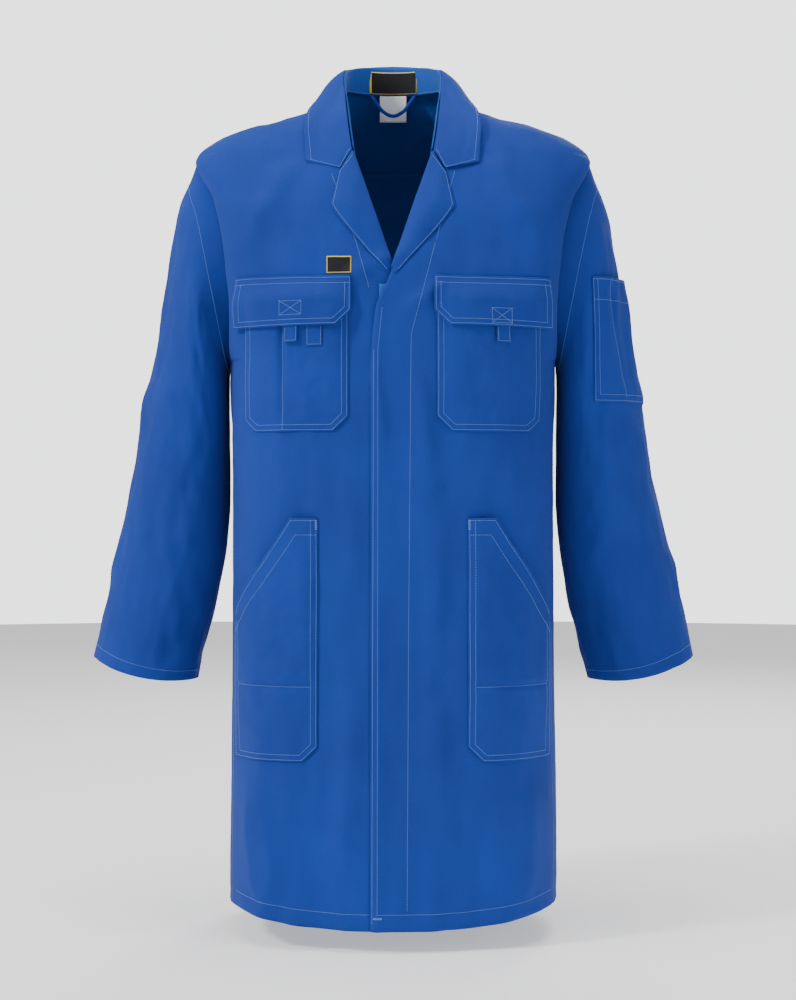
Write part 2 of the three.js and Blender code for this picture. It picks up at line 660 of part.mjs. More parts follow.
function hangerLoop() {
  const y = NECK_DEPTH - 4 - 2.2 * CLOTH - 8;
  const points = [
    [-LOOP_HALF, y + 1.6, -2],
    [-0.8 * LOOP_HALF, y, -0.35 * LOOP_DROP],
    [-0.45 * LOOP_HALF, y - 1, -0.8 * LOOP_DROP],
    [0, y - 1.4, -LOOP_DROP],
    [0.45 * LOOP_HALF, y - 1, -0.8 * LOOP_DROP],
    [0.8 * LOOP_HALF, y, -0.35 * LOOP_DROP],
    [LOOP_HALF, y + 1.6, -2],
  ].map((p) => new THREE.Vector3(...p));
  const section = new THREE.Shape();
  section.absellipse(0, 0, LOOP_RADIUS, LOOP_RADIUS, 0, 2 * Math.PI);
  const extrudePath = new THREE.CatmullRomCurve3(points);
  const geometry = new THREE.ExtrudeGeometry(section, { steps: 18, curveSegments: 4, extrudePath });
  geometry.deleteAttribute("normal");
  geometry.deleteAttribute("uv");
  return mergeVertices(geometry);
}
add(body, "hanger_loop", hangerLoop(), paint(CLOTH_BLUE));

export default coat;
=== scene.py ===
"""Builds a blue work coat with revers, flap pockets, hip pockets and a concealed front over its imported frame."""

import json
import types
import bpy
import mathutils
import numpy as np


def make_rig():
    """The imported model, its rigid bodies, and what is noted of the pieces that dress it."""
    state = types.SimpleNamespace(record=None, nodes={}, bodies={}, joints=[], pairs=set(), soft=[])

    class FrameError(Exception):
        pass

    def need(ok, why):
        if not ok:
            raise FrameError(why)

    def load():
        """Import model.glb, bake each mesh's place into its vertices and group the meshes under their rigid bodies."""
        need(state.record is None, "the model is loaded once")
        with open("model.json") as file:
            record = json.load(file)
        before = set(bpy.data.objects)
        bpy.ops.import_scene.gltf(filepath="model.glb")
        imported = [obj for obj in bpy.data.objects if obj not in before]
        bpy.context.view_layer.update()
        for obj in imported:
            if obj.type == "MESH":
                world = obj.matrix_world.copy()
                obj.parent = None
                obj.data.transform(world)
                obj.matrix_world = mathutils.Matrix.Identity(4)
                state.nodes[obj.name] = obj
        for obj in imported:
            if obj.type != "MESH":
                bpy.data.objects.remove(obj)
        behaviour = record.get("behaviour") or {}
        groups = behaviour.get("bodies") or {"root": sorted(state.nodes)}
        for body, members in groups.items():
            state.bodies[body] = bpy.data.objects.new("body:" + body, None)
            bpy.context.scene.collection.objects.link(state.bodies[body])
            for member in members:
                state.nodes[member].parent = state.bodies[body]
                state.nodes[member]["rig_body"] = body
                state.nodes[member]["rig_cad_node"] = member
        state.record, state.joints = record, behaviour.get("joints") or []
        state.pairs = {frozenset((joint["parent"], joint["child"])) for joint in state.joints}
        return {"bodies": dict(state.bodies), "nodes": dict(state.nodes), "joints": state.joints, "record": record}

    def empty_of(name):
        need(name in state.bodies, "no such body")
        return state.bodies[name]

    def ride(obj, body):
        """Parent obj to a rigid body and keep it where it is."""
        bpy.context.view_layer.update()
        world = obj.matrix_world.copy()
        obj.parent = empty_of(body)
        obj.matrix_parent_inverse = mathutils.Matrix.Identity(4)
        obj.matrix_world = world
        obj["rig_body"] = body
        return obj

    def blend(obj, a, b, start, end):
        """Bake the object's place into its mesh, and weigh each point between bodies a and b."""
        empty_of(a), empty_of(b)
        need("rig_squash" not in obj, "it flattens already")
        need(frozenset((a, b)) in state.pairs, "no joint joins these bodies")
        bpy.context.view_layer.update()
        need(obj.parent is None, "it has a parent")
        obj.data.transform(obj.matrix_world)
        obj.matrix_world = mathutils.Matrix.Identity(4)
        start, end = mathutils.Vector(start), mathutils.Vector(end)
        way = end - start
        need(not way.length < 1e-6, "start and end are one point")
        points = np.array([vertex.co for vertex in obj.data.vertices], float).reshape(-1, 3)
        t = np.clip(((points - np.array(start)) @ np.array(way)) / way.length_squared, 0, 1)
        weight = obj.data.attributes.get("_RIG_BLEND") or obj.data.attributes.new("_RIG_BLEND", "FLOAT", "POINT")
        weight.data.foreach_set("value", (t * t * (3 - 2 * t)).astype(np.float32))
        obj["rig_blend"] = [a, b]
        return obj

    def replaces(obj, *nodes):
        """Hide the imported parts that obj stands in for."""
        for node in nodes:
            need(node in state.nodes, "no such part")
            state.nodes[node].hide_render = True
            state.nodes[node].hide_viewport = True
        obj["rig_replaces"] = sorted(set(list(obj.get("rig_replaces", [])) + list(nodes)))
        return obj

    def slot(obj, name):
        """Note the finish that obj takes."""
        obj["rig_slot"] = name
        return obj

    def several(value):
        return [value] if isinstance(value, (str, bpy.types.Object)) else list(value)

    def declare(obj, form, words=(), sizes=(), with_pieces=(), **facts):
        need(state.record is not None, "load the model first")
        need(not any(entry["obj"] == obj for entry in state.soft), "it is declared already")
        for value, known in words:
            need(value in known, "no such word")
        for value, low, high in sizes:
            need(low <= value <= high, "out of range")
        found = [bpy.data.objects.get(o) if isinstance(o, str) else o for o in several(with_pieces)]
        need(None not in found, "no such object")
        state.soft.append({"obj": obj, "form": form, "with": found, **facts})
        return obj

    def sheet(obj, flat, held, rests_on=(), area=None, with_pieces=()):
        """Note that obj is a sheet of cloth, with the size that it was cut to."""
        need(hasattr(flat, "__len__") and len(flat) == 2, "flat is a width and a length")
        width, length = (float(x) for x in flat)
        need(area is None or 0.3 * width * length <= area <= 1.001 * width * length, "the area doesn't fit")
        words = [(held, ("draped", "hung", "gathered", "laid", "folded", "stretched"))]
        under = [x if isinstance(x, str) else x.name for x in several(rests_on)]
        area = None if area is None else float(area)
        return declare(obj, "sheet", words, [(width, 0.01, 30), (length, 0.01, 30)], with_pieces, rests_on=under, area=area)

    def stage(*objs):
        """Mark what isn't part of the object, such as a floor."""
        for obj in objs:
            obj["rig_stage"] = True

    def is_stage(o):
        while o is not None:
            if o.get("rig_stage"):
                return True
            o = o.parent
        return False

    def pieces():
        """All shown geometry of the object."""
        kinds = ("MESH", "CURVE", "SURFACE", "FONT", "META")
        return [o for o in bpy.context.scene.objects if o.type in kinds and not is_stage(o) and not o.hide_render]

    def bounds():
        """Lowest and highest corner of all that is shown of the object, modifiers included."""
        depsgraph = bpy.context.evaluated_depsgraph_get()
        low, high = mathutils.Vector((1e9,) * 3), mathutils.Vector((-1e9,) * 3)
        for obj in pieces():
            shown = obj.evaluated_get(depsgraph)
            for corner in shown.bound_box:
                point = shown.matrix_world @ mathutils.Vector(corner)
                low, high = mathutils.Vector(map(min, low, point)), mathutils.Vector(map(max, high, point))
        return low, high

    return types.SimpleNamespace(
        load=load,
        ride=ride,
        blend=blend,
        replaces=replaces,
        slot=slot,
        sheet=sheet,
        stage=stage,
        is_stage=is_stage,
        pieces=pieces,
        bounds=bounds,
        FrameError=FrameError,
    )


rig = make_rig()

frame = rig.load()
CAD_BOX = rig.bounds()

import json
import math

import bmesh
import bpy
from bpy.props import FloatProperty, FloatVectorProperty, PointerProperty
from mathutils import Matrix, Vector, noise

bl_info = {
    "name": "Work Coat Builder",
    "version": (1, 0, 0),
    "blender": (4, 5, 0),
    "location": "View3D > Sidebar > Coat",
    "description": "Builds the cloth, seams and trim of a blue work coat on its frame",
    "category": "Add Mesh",
}

MM = 0.001

# ------------------------------------------------------------------ driving sizes of the form, in millimetres
BACK_LENGTH = -CAD_BOX[0][2] / MM
SHOULDER_HALF = 243.0
SHOULDER_DROP = 98.0
BODY_HALF = 198.0
CHEST_DEPTH = 131.0
HEM_DEPTH = 160.0
NECK_HALF = 62.0
NECK_DEPTH = 74.0
STAND_HEIGHT = 36.0
ARMHOLE_LENGTH = 250.0
ARMHOLE_DEPTH = 68.0
SECTION_POWER = 2.8
SKIN = 1.4
SPLIT_Z = -468.0
SIDE_SEAM = 0.85
LAP_HALF = 26.0
BREAK_Z = -238.0
GORGE = (49.0, -100.0)
NOTCH = (62.0, -125.0)
LAPEL_TIP = (74.0, -169.0)
LAPEL_FOOT = (3.0, -252.0)
COLLAR_TIP = (104.0, -114.0)
SLEEVE_DROP = 642.0
BICEP_WIDTH = 82.0
CUFF_WIDTH = 131.0
CUFF_DEPTH = 50.0
CUFF_SWING = 42.0
SLEEVE_GAP = 5.0
LAP_STACK = 5.0
YOKE_Z = -92.0
HEM_STITCH = 19.0  # the hem's stitching above its edge
CUFF_RISE = 26.0  # how much higher the cuff ends on the outside of the arm
ELBOW_BACK = 12.0
SEAT = 0.09  # the share of the sleeve that eases onto the armhole
SEAT_GAP = 1.9
THREAD_LIFT = 0.1  # how far a thread's middle stands off the cloth
MITRE = 0.41  # how much further a line of stitching runs to turn a cut corner
POCKET_THICK = 1.1
FLAP_THICK = 1.7
TAPE_THICK = 0.7
UNDER_FLAP = 1.8  # from the face of a flap to what is sewn to its back
OPENING = (-445.0, -670.0)  # the heights between which a front gives as it opens
NECK_LABEL = (60.0, 28.0)
CHEST_LABEL = (29.0, 20.0)
CARE_LABEL = (34.0, 34.0)

ARM_TOP = -SHOULDER_DROP
ARM_FOOT = ARM_TOP - ARMHOLE_LENGTH


def lerp(a, b, t):
    return a + (b - a) * t


def clamp(x, low=0.0, high=1.0):
    return min(high, max(low, x))


def ease(x):
    t = clamp(x)
    return t * t * (3 - 2 * t)


def profile(stations, steps=800):
    """A smooth monotone curve through (x, value) stations, kept as a table."""
    p = sorted(stations)
    rise = [(b[1] - a[1]) / (b[0] - a[0]) for a, b in zip(p, p[1:])]
    slope = []
    for i in range(len(p)):
        before, after = rise[max(0, i - 1)], rise[min(len(rise) - 1, i)]
        slope.append(0.0 if before * after <= 0 else 2 * before * after / (before + after))

    def exact(x):
        k = 0
        while k < len(p) - 2 and x > p[k + 1][0]:
            k += 1
        h = p[k + 1][0] - p[k][0]
        t = (x - p[k][0]) / h
        low = p[k][1] * (1 + 2 * t) * (1 - t) ** 2 + slope[k] * h * t * (1 - t) ** 2
        return low + p[k + 1][1] * t * t * (3 - 2 * t) + slope[k + 1] * h * t * t * (t - 1)

    first, last = p[0][0], p[-1][0]
    table = [exact(lerp(first, last, i / steps)) for i in range(steps + 1)]

    def value(x):
        f = clamp((x - first) / (last - first)) * steps
        i = min(steps - 1, int(f))
        return lerp(table[i], table[i + 1], f - i)

    return value


# ------------------------------------------------------------------ body form
SPAN = SHOULDER_HALF - NECK_HALF
half_width = profile(
    [
        (0, NECK_HALF),
        (-0.08 * SHOULDER_DROP, NECK_HALF + 8),
        (-0.36 * SHOULDER_DROP, NECK_HALF + 0.2 * SPAN),
        (-0.78 * SHOULDER_DROP, NECK_HALF + 0.87 * SPAN),
        (ARM_TOP, SHOULDER_HALF),
        (ARM_TOP - 0.23 * ARMHOLE_LENGTH, lerp(BODY_HALF, SHOULDER_HALF, 0.42)),
        (ARM_TOP - 0.5 * ARMHOLE_LENGTH, BODY_HALF + 5),
        (ARM_TOP - 0.75 * ARMHOLE_LENGTH, BODY_HALF),
        (ARM_FOOT, BODY_HALF + 2),
        (SPLIT_Z, BODY_HALF),
        (-BACK_LENGTH, BODY_HALF + 4),
    ]
)
front_depth = profile(
    [
        (0, 0.2 * CHEST_DEPTH),
        (-20, 0.31 * CHEST_DEPTH),
        (-50, 0.48 * CHEST_DEPTH),
        (ARM_TOP, 0.7 * CHEST_DEPTH),
        (-175, 0.89 * CHEST_DEPTH),
        (-262, 0.985 * CHEST_DEPTH),
        (ARM_FOOT, CHEST_DEPTH),
        (SPLIT_Z, CHEST_DEPTH),
        (-700, lerp(CHEST_DEPTH, HEM_DEPTH, 0.35)),
        (-BACK_LENGTH, HEM_DEPTH),
    ]
)
back_depth = profile(
    [
        (0, NECK_DEPTH),
        (-25, NECK_DEPTH + 14),
        (-60, 0.8 * CHEST_DEPTH),
        (ARM_TOP, 0.89 * CHEST_DEPTH),
        (-175, 0.97 * CHEST_DEPTH),
        (-262, CHEST_DEPTH),
        (SPLIT_Z, 0.97 * CHEST_DEPTH),
        (-700, lerp(CHEST_DEPTH, HEM_DEPTH, 0.4)),
        (-BACK_LENGTH, HEM_DEPTH),
    ]
)
front_edge = profile(
    [
        (-BACK_LENGTH - 20, -LAP_HALF),
        (-365, -LAP_HALF),
        (-296, -0.8 * LAP_HALF),
        (LAPEL_FOOT[1], -LAPEL_FOOT[0]),
        (BREAK_Z, 1),
        (GORGE[1], GORGE[0]),
        (-50, 0.98 * NECK_HALF),
        (-8, NECK_HALF + 6),
    ]
)


def arm_depth(z, s):
    """Half the depth of the body at the armhole's edge, let into the body softly."""
    r = (z - (ARM_TOP + ARM_FOOT) / 2) / (ARMHOLE_LENGTH / 2)
    edge = math.sqrt(max(0.0, 1 - r * r))
    soft = 1 - ease((abs(r) - 0.3) / 0.95)
    return ARMHOLE_DEPTH * lerp(soft, edge, ease((abs(s) - 0.86) / 0.13))


def side_seam(z):
    return lerp(SIDE_SEAM, 1, ease((z - SPLIT_Z) / (ARM_FOOT - SPLIT_Z)))


def body_point(face, q, z):
    """face is -1 in front and 1 behind; q runs from 0 at the centre to 1 or -1 at the sides."""
    s = math.sin(q * math.pi / 2)
    turn = max(0.0, 1 - abs(s) ** SECTION_POWER) ** (1 / SECTION_POWER)
    depth = front_depth(z) if face < 0 else back_depth(z)
    return Vector((half_width(z) * s, face * lerp(arm_depth(z, s), depth, turn), z))


def body_normal(face, q, z):
    step = -0.01 if q > 0 else 0.01
    at = body_point(face, q, z)
    across = body_point(face, q + step, z) - at
    up = body_point(face, q, z + 1) - body_point(face, q, z - 1)
    n = across.cross(up).normalized()
    return -n if n.dot(Vector((at.x, at.y, 60))) < 0 else n


def crease(x, z, x0, z0, x1, z1, width, height):
    """A soft ridge along a line in the front view, fading at both ends."""
    dx, dz = x1 - x0, z1 - z0
    length = math.hypot(dx, dz)
    along = ((x - x0) * dx + (z - z0) * dz) / length
    off = ((x - x0) * dz - (z - z0) * dx) / length
    ends = ease(along / (0.3 * length)) * ease((length - along) / (0.3 * length))
    return height * ends * math.exp(-((off / width) ** 2))


FRONT_CREASES = (
    (-70, -262, 20, -222, 9, 2.0),
    (70, -255, 8, -300, 8, 1.8),
    (-25, -330, -8, -470, 7, 1.6),
    (30, -350, 46, -520, 10, 1.5),
    (-60, -470, -38, -640, 14, 2.2),
    (60, -500, 48, -700, 14, 2.0),
    (-150, -150, -190, -240, 13, 2.2),
    (150, -150, 192, -250, 13, 2.2),
    (-40, -700, -64, -980, 16, 2.6),
    (44, -720, 70, -990, 16, 2.6),
    (-170, -850, -150, -1010, 18, 3.0),
    (172, -850, 150, -1010, 18, 3.0),
    (-120, -100, -150, -190, 15, 1.6),
    (120, -100, 152, -196, 15, 1.6),
)
BACK_CREASES = (
    (-60, -160, -150, -300, 22, 3.0),
    (60, -150, 152, -310, 22, 3.0),
    (-20, -300, -60, -620, 26, 3.5),
    (30, -330, 66, -660, 26, 3.5),
    (-110, -600, -126, -1000, 24, 4.0),
    (0, -640, 6, -1010, 26, 4.0),
    (112, -610, 130, -1000, 24, 4.0),
    (-90, -420, 60, -470, 20, 2.0),
)


def folds(face, p):
    """How far the hanging cloth stands off the smooth form there."""
    hang = ease((-330 - p.z) / 690)
    beside = ease((abs(p.x) - 150) / 40)
    long = noise.noise(Vector((p.x * 0.012 + 4.3, p.y * 0.012, p.z * 0.0017 + 3.1)))
    fine = noise.noise(Vector((p.x * 0.034, p.y * 0.034 + 2.0, p.z * 0.009 + 9.7)))
    small = noise.noise(Vector((p.x * 0.07 + 8.0, p.y * 0.07, p.z * 0.03)))
    slant = noise.noise(Vector((p.x * 0.016 + p.z * 0.010, p.x * 0.006 - p.z * 0.004, face * 3.0)))
    lift = (3.4 + 9.0 * hang) * long + (1.8 + 1.2 * hang) * fine + 0.7 * small + 2.6 * slant
    lift *= lerp(1, 0.22, beside) * ease((-4 - p.z) / 60)
    crumple = noise.noise(Vector((p.x * 0.045 + p.z * 0.03, p.x * 0.02 - p.z * 0.03, face * 5.0)))
    patchy = abs(noise.noise(Vector((p.x * 0.01, face * 2.0, p.z * 0.01))))
    lift += 1.1 * crumple * (0.4 + 2 * patchy) * lerp(1, 0.4, beside)
    for line in FRONT_CREASES if face < 0 else BACK_CREASES:
        lift += 2.0 * crease(p.x, p.z, *line) * lerp(1, 0.4, beside)
    hem = math.exp(-(((p.z + BACK_LENGTH - HEM_STITCH) / 9) ** 2))
    lift += hem * (0.9 * noise.noise(Vector((p.x * 0.11, 3.0 * face, 0.5))) - 0.5)
    return clamp(lift, -8, 9)


def on_body(face, q, z, lift):
    at = body_point(face, q, z)
    return at + body_normal(face, q, z) * (lift + folds(face, at))


def side_of(x, z):
    return math.asin(clamp(x / half_width(z), -1, 1)) / (math.pi / 2)


def lap_lift(x, z):
    """How far the left front stands off the right one, less again at its very edge."""
    return LAP_STACK * ease((66 - x) / 28) * ease((-200 - z) / 40) * (1 - 0.6 * ease((-18 - x) / 8))


def under_left(side, x, z):
    return lap_lift(x, z) if side > 0 else 0.0


def on_front(side, x, z, lift):
    """A point of the front, x counted outwards on that side, lifted off the front's own outer face."""
    return on_body(-1, side * side_of(x, z), z, SKIN + under_left(side, x, z) + lift)


def hem_drop(face, x):
    """The hem dips at the front and rises at the sides."""
    s = abs(x) / BODY_HALF
    return lerp(-4, 11, ease(s * s)) if face < 0 else lerp(2, 9, ease(s * s))


def at_hem(face, x, z):
    return z + hem_drop(face, x) * ease((-880 - z) / (BACK_LENGTH - 880))


# ------------------------------------------------------------------ sleeve form
sleeve_in = profile(
    [
        (0, BODY_HALF + SLEEVE_GAP + SKIN),
        (0.45, BODY_HALF + SLEEVE_GAP + SKIN),
        (0.6, BODY_HALF + SLEEVE_GAP + SKIN + 4),
        (1, BODY_HALF + SLEEVE_GAP + CUFF_SWING),
    ]
)
sleeve_width = profile(
    [
        (0, SHOULDER_HALF - BODY_HALF - SLEEVE_GAP + 2),
        (0.1, 0.76 * BICEP_WIDTH),
        (0.3, BICEP_WIDTH),
        (0.6, 1.4 * BICEP_WIDTH),
        (1, CUFF_WIDTH),
    ]
)
sleeve_depth = profile([(0, ARMHOLE_DEPTH), (0.15, ARMHOLE_DEPTH + 8), (0.5, ARMHOLE_DEPTH), (1, CUFF_DEPTH)])
SLEEVE_CREASES = (
    (0.05, 0.20, 0.22, 0.45, 0.05, 3.0),
    (-0.05, 0.52, 0.5, 0.36, 0.035, 3.2),
    (0.1, 0.60, 0.6, 0.50, 0.035, 3.0),
    (-0.6, 0.42, -0.1, 0.55, 0.04, 3.0),
    (0.2, 0.72, 0.75, 0.64, 0.03, 2.4),
    (-0.7, 0.70, -0.15, 0.62, 0.03, 2.6),
    (-0.4, 0.85, 0.2, 0.80, 0.028, 2.0),
)


def sleeve_folds(side, angle, t):
    turn = math.cos(angle), math.sin(angle)
    where = Vector((turn[0] * 1.6 + side * 3, turn[1] * 1.6, t * 5.0))
    lift = 3.6 * noise.noise(where) + 2.0 * noise.noise(where * 2.7 + Vector((5, 1, 2)))
    lift += 0.9 * noise.noise(Vector((where.x * 5, where.y * 5, where.z * 4 + 9)))
    front = -math.atan2(turn[1], turn[0]) / math.pi
    for a0, t0, a1, t1, width, height in SLEEVE_CREASES:
        lift += 1.5 * crease(front, t, a0, t0, a1, t1, width, height)
    inner = ease((-turn[0] - 0.2) / 0.6) * (1 - ease((t - 0.62) / 0.25))
    return lift * ease(t / 0.14) * lerp(1, 0.15, inner) * lerp(1, 0.5, ease((t - 0.93) / 0.07))


def sleeve_point(side, angle, t, lift):
    """angle 0 is the outer top of the arm, half a turn the underarm; a quarter turn faces back."""
    c, s = math.cos(angle), math.sin(angle)
    lift = lift + sleeve_folds(side, angle, t)
    half = sleeve_width(t) / 2
    middle = sleeve_in(t) + half
    back = ELBOW_BACK * ease(t / 0.5)
    low = lerp(ARM_FOOT, ARM_TOP - SLEEVE_DROP - 2, t**1.08)
    high = lerp(ARM_TOP, ARM_TOP - SLEEVE_DROP + CUFF_RISE, t)
    z = lerp(low, high, (c + 1) / 2) - 10 * t * (1 - c * c)
    x = middle + (half + lift) * c
    y = back + (sleeve_depth(t) + lift) * s
    if t < SEAT:
        seam = half_width(lerp(ARM_FOOT, ARM_TOP, (c + 1) / 2)) + SKIN + SEAT_GAP + lift
        x = lerp(x, seam, (1 - t / SEAT) ** 2)
    return Vector((side * x, y, z))


# ------------------------------------------------------------------ collar form
def spline(points):
    """A smooth centripetal curve through points, read from 0 to 1."""
    p = [Vector(x) for x in points]
    ends = [p[0] * 2 - p[1]] + p + [p[-1] * 2 - p[-2]]

    def at(t):
        f = clamp(t) * (len(p) - 1)
        i = min(len(p) - 2, int(f))
        p0, p1, p2, p3 = ends[i : i + 4]
        k = [max((b - a).length, 1e-6) ** 0.5 for a, b in ((p0, p1), (p1, p2), (p2, p3))]
        m1 = ((p1 - p0) / k[0] - (p2 - p0) / (k[0] + k[1]) + (p2 - p1) / k[1]) * k[1]
        m2 = ((p2 - p1) / k[1] - (p3 - p1) / (k[1] + k[2]) + (p3 - p2) / k[2]) * k[1]
        u = f - i
        ends_at = p1 * (1 - u) ** 2 * (1 + 2 * u) + p2 * u * u * (3 - 2 * u)
        return ends_at + m1 * u * (1 - u) ** 2 + m2 * u * u * (u - 1)

    return at


def smooth_body(face, q, z, lift):
    return body_point(face, q, z) + body_normal(face, q, z) * lift


def smooth_front(x, z, lift):
    return smooth_body(-1, side_of(x, z), z, lift)


fold_line = spline(
    [
        (0, NECK_DEPTH - 4, STAND_HEIGHT),
        (0.4 * NECK_HALF, 0.88 * NECK_DEPTH, STAND_HEIGHT - 1),
        (0.82 * NECK_HALF, 0.56 * NECK_DEPTH, 0.8 * STAND_HEIGHT),
        (NECK_HALF + 1, 2, 0.36 * STAND_HEIGHT),
        (NECK_HALF - 4, -44, -38),
        smooth_front(GORGE[0], GORGE[1], SKIN + 1.5),
    ]
)
neck_seam = spline(
    [
        (0, NECK_DEPTH - 3, 0),
        (0.42 * NECK_HALF, 0.9 * NECK_DEPTH, -1),
        (0.84 * NECK_HALF, 0.56 * NECK_DEPTH, -3),
        (NECK_HALF, 2, -12),
        (NECK_HALF - 7, -38, -58),
        smooth_front(GORGE[0] - 2, GORGE[1] - 8, SKIN),
    ]
)
collar_edge = spline(
    [
        smooth_body(1, 0, -30, 6),
        smooth_body(1, 0.36, -31, 6),
        smooth_body(1, 0.7, -33, 6),
        smooth_body(1, side_of(99, -35), -31, 9),
        smooth_front(106, -66, 8),
        smooth_front(COLLAR_TIP[0], COLLAR_TIP[1], 3),
    ]
)


def clear_of_body(p, lift):
    """Moves a point of the collar out, so that it stands off the cloth beneath it."""
    face = -1 if p.y < 0 else 1
    wall = on_body(face, side_of(p.x, p.z), p.z, SKIN + lift).y
    p.y = min(p.y, wall) if face < 0 else max(p.y, wall)
    return p


def collar_point(t, v, lift):
    """t runs from the nape (0) to the front end (1), v from the fold (0) to the free edge (1)."""
    at = fold_line(t)
    edge = collar_edge(t)
    away = Vector((at.x, at.y, 0)).normalized()
    notch = smooth_front(NOTCH[0], NOTCH[1] + 2, 3)
    start = at + away * 1.0 + Vector((0, 0, lerp(2.0, 0.3, t)))
    straight = start.lerp(edge, v)
    ended = start.lerp(notch, v / 0.45) if v < 0.45 else notch.lerp(edge, (v - 0.45) / 0.55)
    p = straight.lerp(ended, ease((t - 0.72) / 0.28))
    belly = math.sin(math.pi * v**0.8) * lerp(8, 2.2, ease((t - 0.3) / 0.6))
    p += away * (belly + lift) + Vector((0, 0, 0.5 * belly * (1 - v) + 0.6 * lift))
    p += away * 0.5 * noise.noise(Vector((t * 9, v * 2, 1.5)))
    return clear_of_body(p, 1.8 + 2.5 * math.sin(math.pi * v) + lift)


# ------------------------------------------------------------------ mesh making
def finish_mesh(bm, name):
    mesh = bpy.data.meshes.new(name)
    bm.to_mesh(mesh)
    bm.free()
    obj = bpy.data.objects.new(name, mesh)
    bpy.context.scene.collection.objects.link(obj)
    for polygon in mesh.polygons:
        polygon.use_smooth = True
    return obj


def face_away(bm, inside):
    """Turns the faces so that they look away from inside(centre)."""
    total = 0.0
    for face in bm.faces:
        centre = face.calc_center_median()
        total += face.normal.dot(centre - inside(centre)) * face.calc_area()
    if total < 0:
        bmesh.ops.reverse_faces(bm, faces=bm.faces)


def run_length(points):
    return sum((b - a).length for a, b in zip(points, points[1:]))


def trunk(centre):
    """The middle of the body beside a point."""
    return Vector((0, 0, centre.z - 0.06))


def cloth(name, columns, rows, place, material, thick, inside=trunk, closed=False):
    """A sheet from a warped grid: place(u, v) gives each point in millimetres, and its weave follows the sheet."""
    bm = bmesh.new()
    bmesh.ops.create_grid(bm, x_segments=columns, y_segments=rows, size=0.5)
    weave = bm.loops.layers.uv.new("Weave")
    flat = {v: (v.co.x + 0.5, v.co.y + 0.5) for v in bm.verts}
    for v, (a, b) in flat.items():
        v.co = place(a, b) * MM
    grid = sorted(flat.items(), key=lambda item: (round(item[1][1] * rows), round(item[1][0] * columns)))
    verts = [v.co.copy() for v, _ in grid]
    middle = rows // 2 * (columns + 1)
    width = run_length(verts[middle : middle + columns + 1])
    length = run_length(verts[columns // 2 :: columns + 1])
    for face in bm.faces:
        for loop in face.loops:
            a, b = flat[loop.vert]
            loop[weave].uv = (a * width, b * length)
    if closed:
        bmesh.ops.remove_doubles(bm, verts=bm.verts, dist=1e-5)
    bm.normal_update()
    face_away(bm, inside)
    obj = finish_mesh(bm, name)
    obj.data.materials.append(material)
    wall = obj.modifiers.new("Cloth thickness", "SOLIDIFY")
    wall.thickness = thick * MM
    wall.offset = -1.0
    obj["flat_width"] = width
    obj["flat_length"] = length
    return obj


def hung(obj, rests_on, with_pieces=()):
    """Declares a cut sheet of the coat, with the size that it was cut to."""
    area = sum(p.area for p in obj.data.polygons)
    width, length = max(obj["flat_width"], 0.011), max(obj["flat_length"], 0.011)
    scale = max(1.0, area / (width * length))
    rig.sheet(obj, flat=(width * scale, length), held="hung", rests_on=rests_on, area=area, with_pieces=with_pieces)


def walk(path, skin, step=2.0):
    """Points of a path laid on a skin, close together."""
    points = []
    for (ax, ay), (bx, by) in zip(path, path[1:]):
        count = max(2, int(math.hypot(bx - ax, by - ay) / step))
        for i in range(count):
            points.append(skin(lerp(ax, bx, i / count), lerp(ay, by, i / count)))
    points.append(skin(*path[-1]))
    return points


def stitches(name, runs, material, pitch=None):
    """Sews runs of thread, each a list of points in millimetres, as one piece of many short stitches."""
    pitch = (pitch or sizes().stitch_pitch / MM) * MM
    long, radius = 0.7 * pitch, sizes().thread_width / 2
    bm = bmesh.new()
    for run in runs:
        line = [p * MM for p in run]
        reach, due = 0.0, pitch * 0.5
        for a, b in zip(line, line[1:]):
            span = (b - a).length
            if span < 1e-7:
                continue
            along = (b - a) / span
            while due <= reach + span:
                at = a + along * (due - reach)
                turn = along.to_track_quat("Z", "Y").to_matrix().to_4x4()
                place = Matrix.Translation(at) @ turn
                bmesh.ops.create_cone(
                    bm, cap_ends=True, segments=5, radius1=radius, radius2=radius * 0.8, depth=long, matrix=place
                )
                due += pitch
            reach += span
    obj = finish_mesh(bm, name)
    obj.data.materials.append(material)
    return obj


# ------------------------------------------------------------------ materials
def feed(material, node, key, value):
    """Sets an input to a value, or links a socket to it."""
    if isinstance(value, bpy.types.NodeSocket):
        material.node_tree.links.new(value, node.inputs[key])
    else:
        node.inputs[key].default_value = value


def add_node(material, kind, inputs=(), **settings):
    """One shader node with its settings and its inputs, each a value or the socket that feeds it."""
    node = material.node_tree.nodes.new(f"ShaderNode{kind}")
    for key, value in settings.items():
        setattr(node, key, value)
    for key, value in dict(inputs).items():
        feed(material, node, key, value)
    return node


def new_material(name, roughness, sheen=0.0, metallic=0.0, specular=0.12):
    material = bpy.data.materials.new(name)
    material.use_nodes = True
    shader = material.node_tree.nodes["Principled BSDF"]
    shader.inputs["Roughness"].default_value = roughness
    shader.inputs["Metallic"].default_value = metallic
    shader.inputs["Sheen Weight"].default_value = sheen
    shader.inputs["Sheen Roughness"].default_value = 0.5
    shader.inputs["Specular IOR Level"].default_value = specular
    return material, shader


def speckle(material, scale, detail=2.0):
    """Noise fixed to the piece."""
    place = add_node(material, "TexCoord").outputs["Object"]
    return add_node(material, "TexNoise", {"Vector": place, "Scale": scale, "Detail": detail})


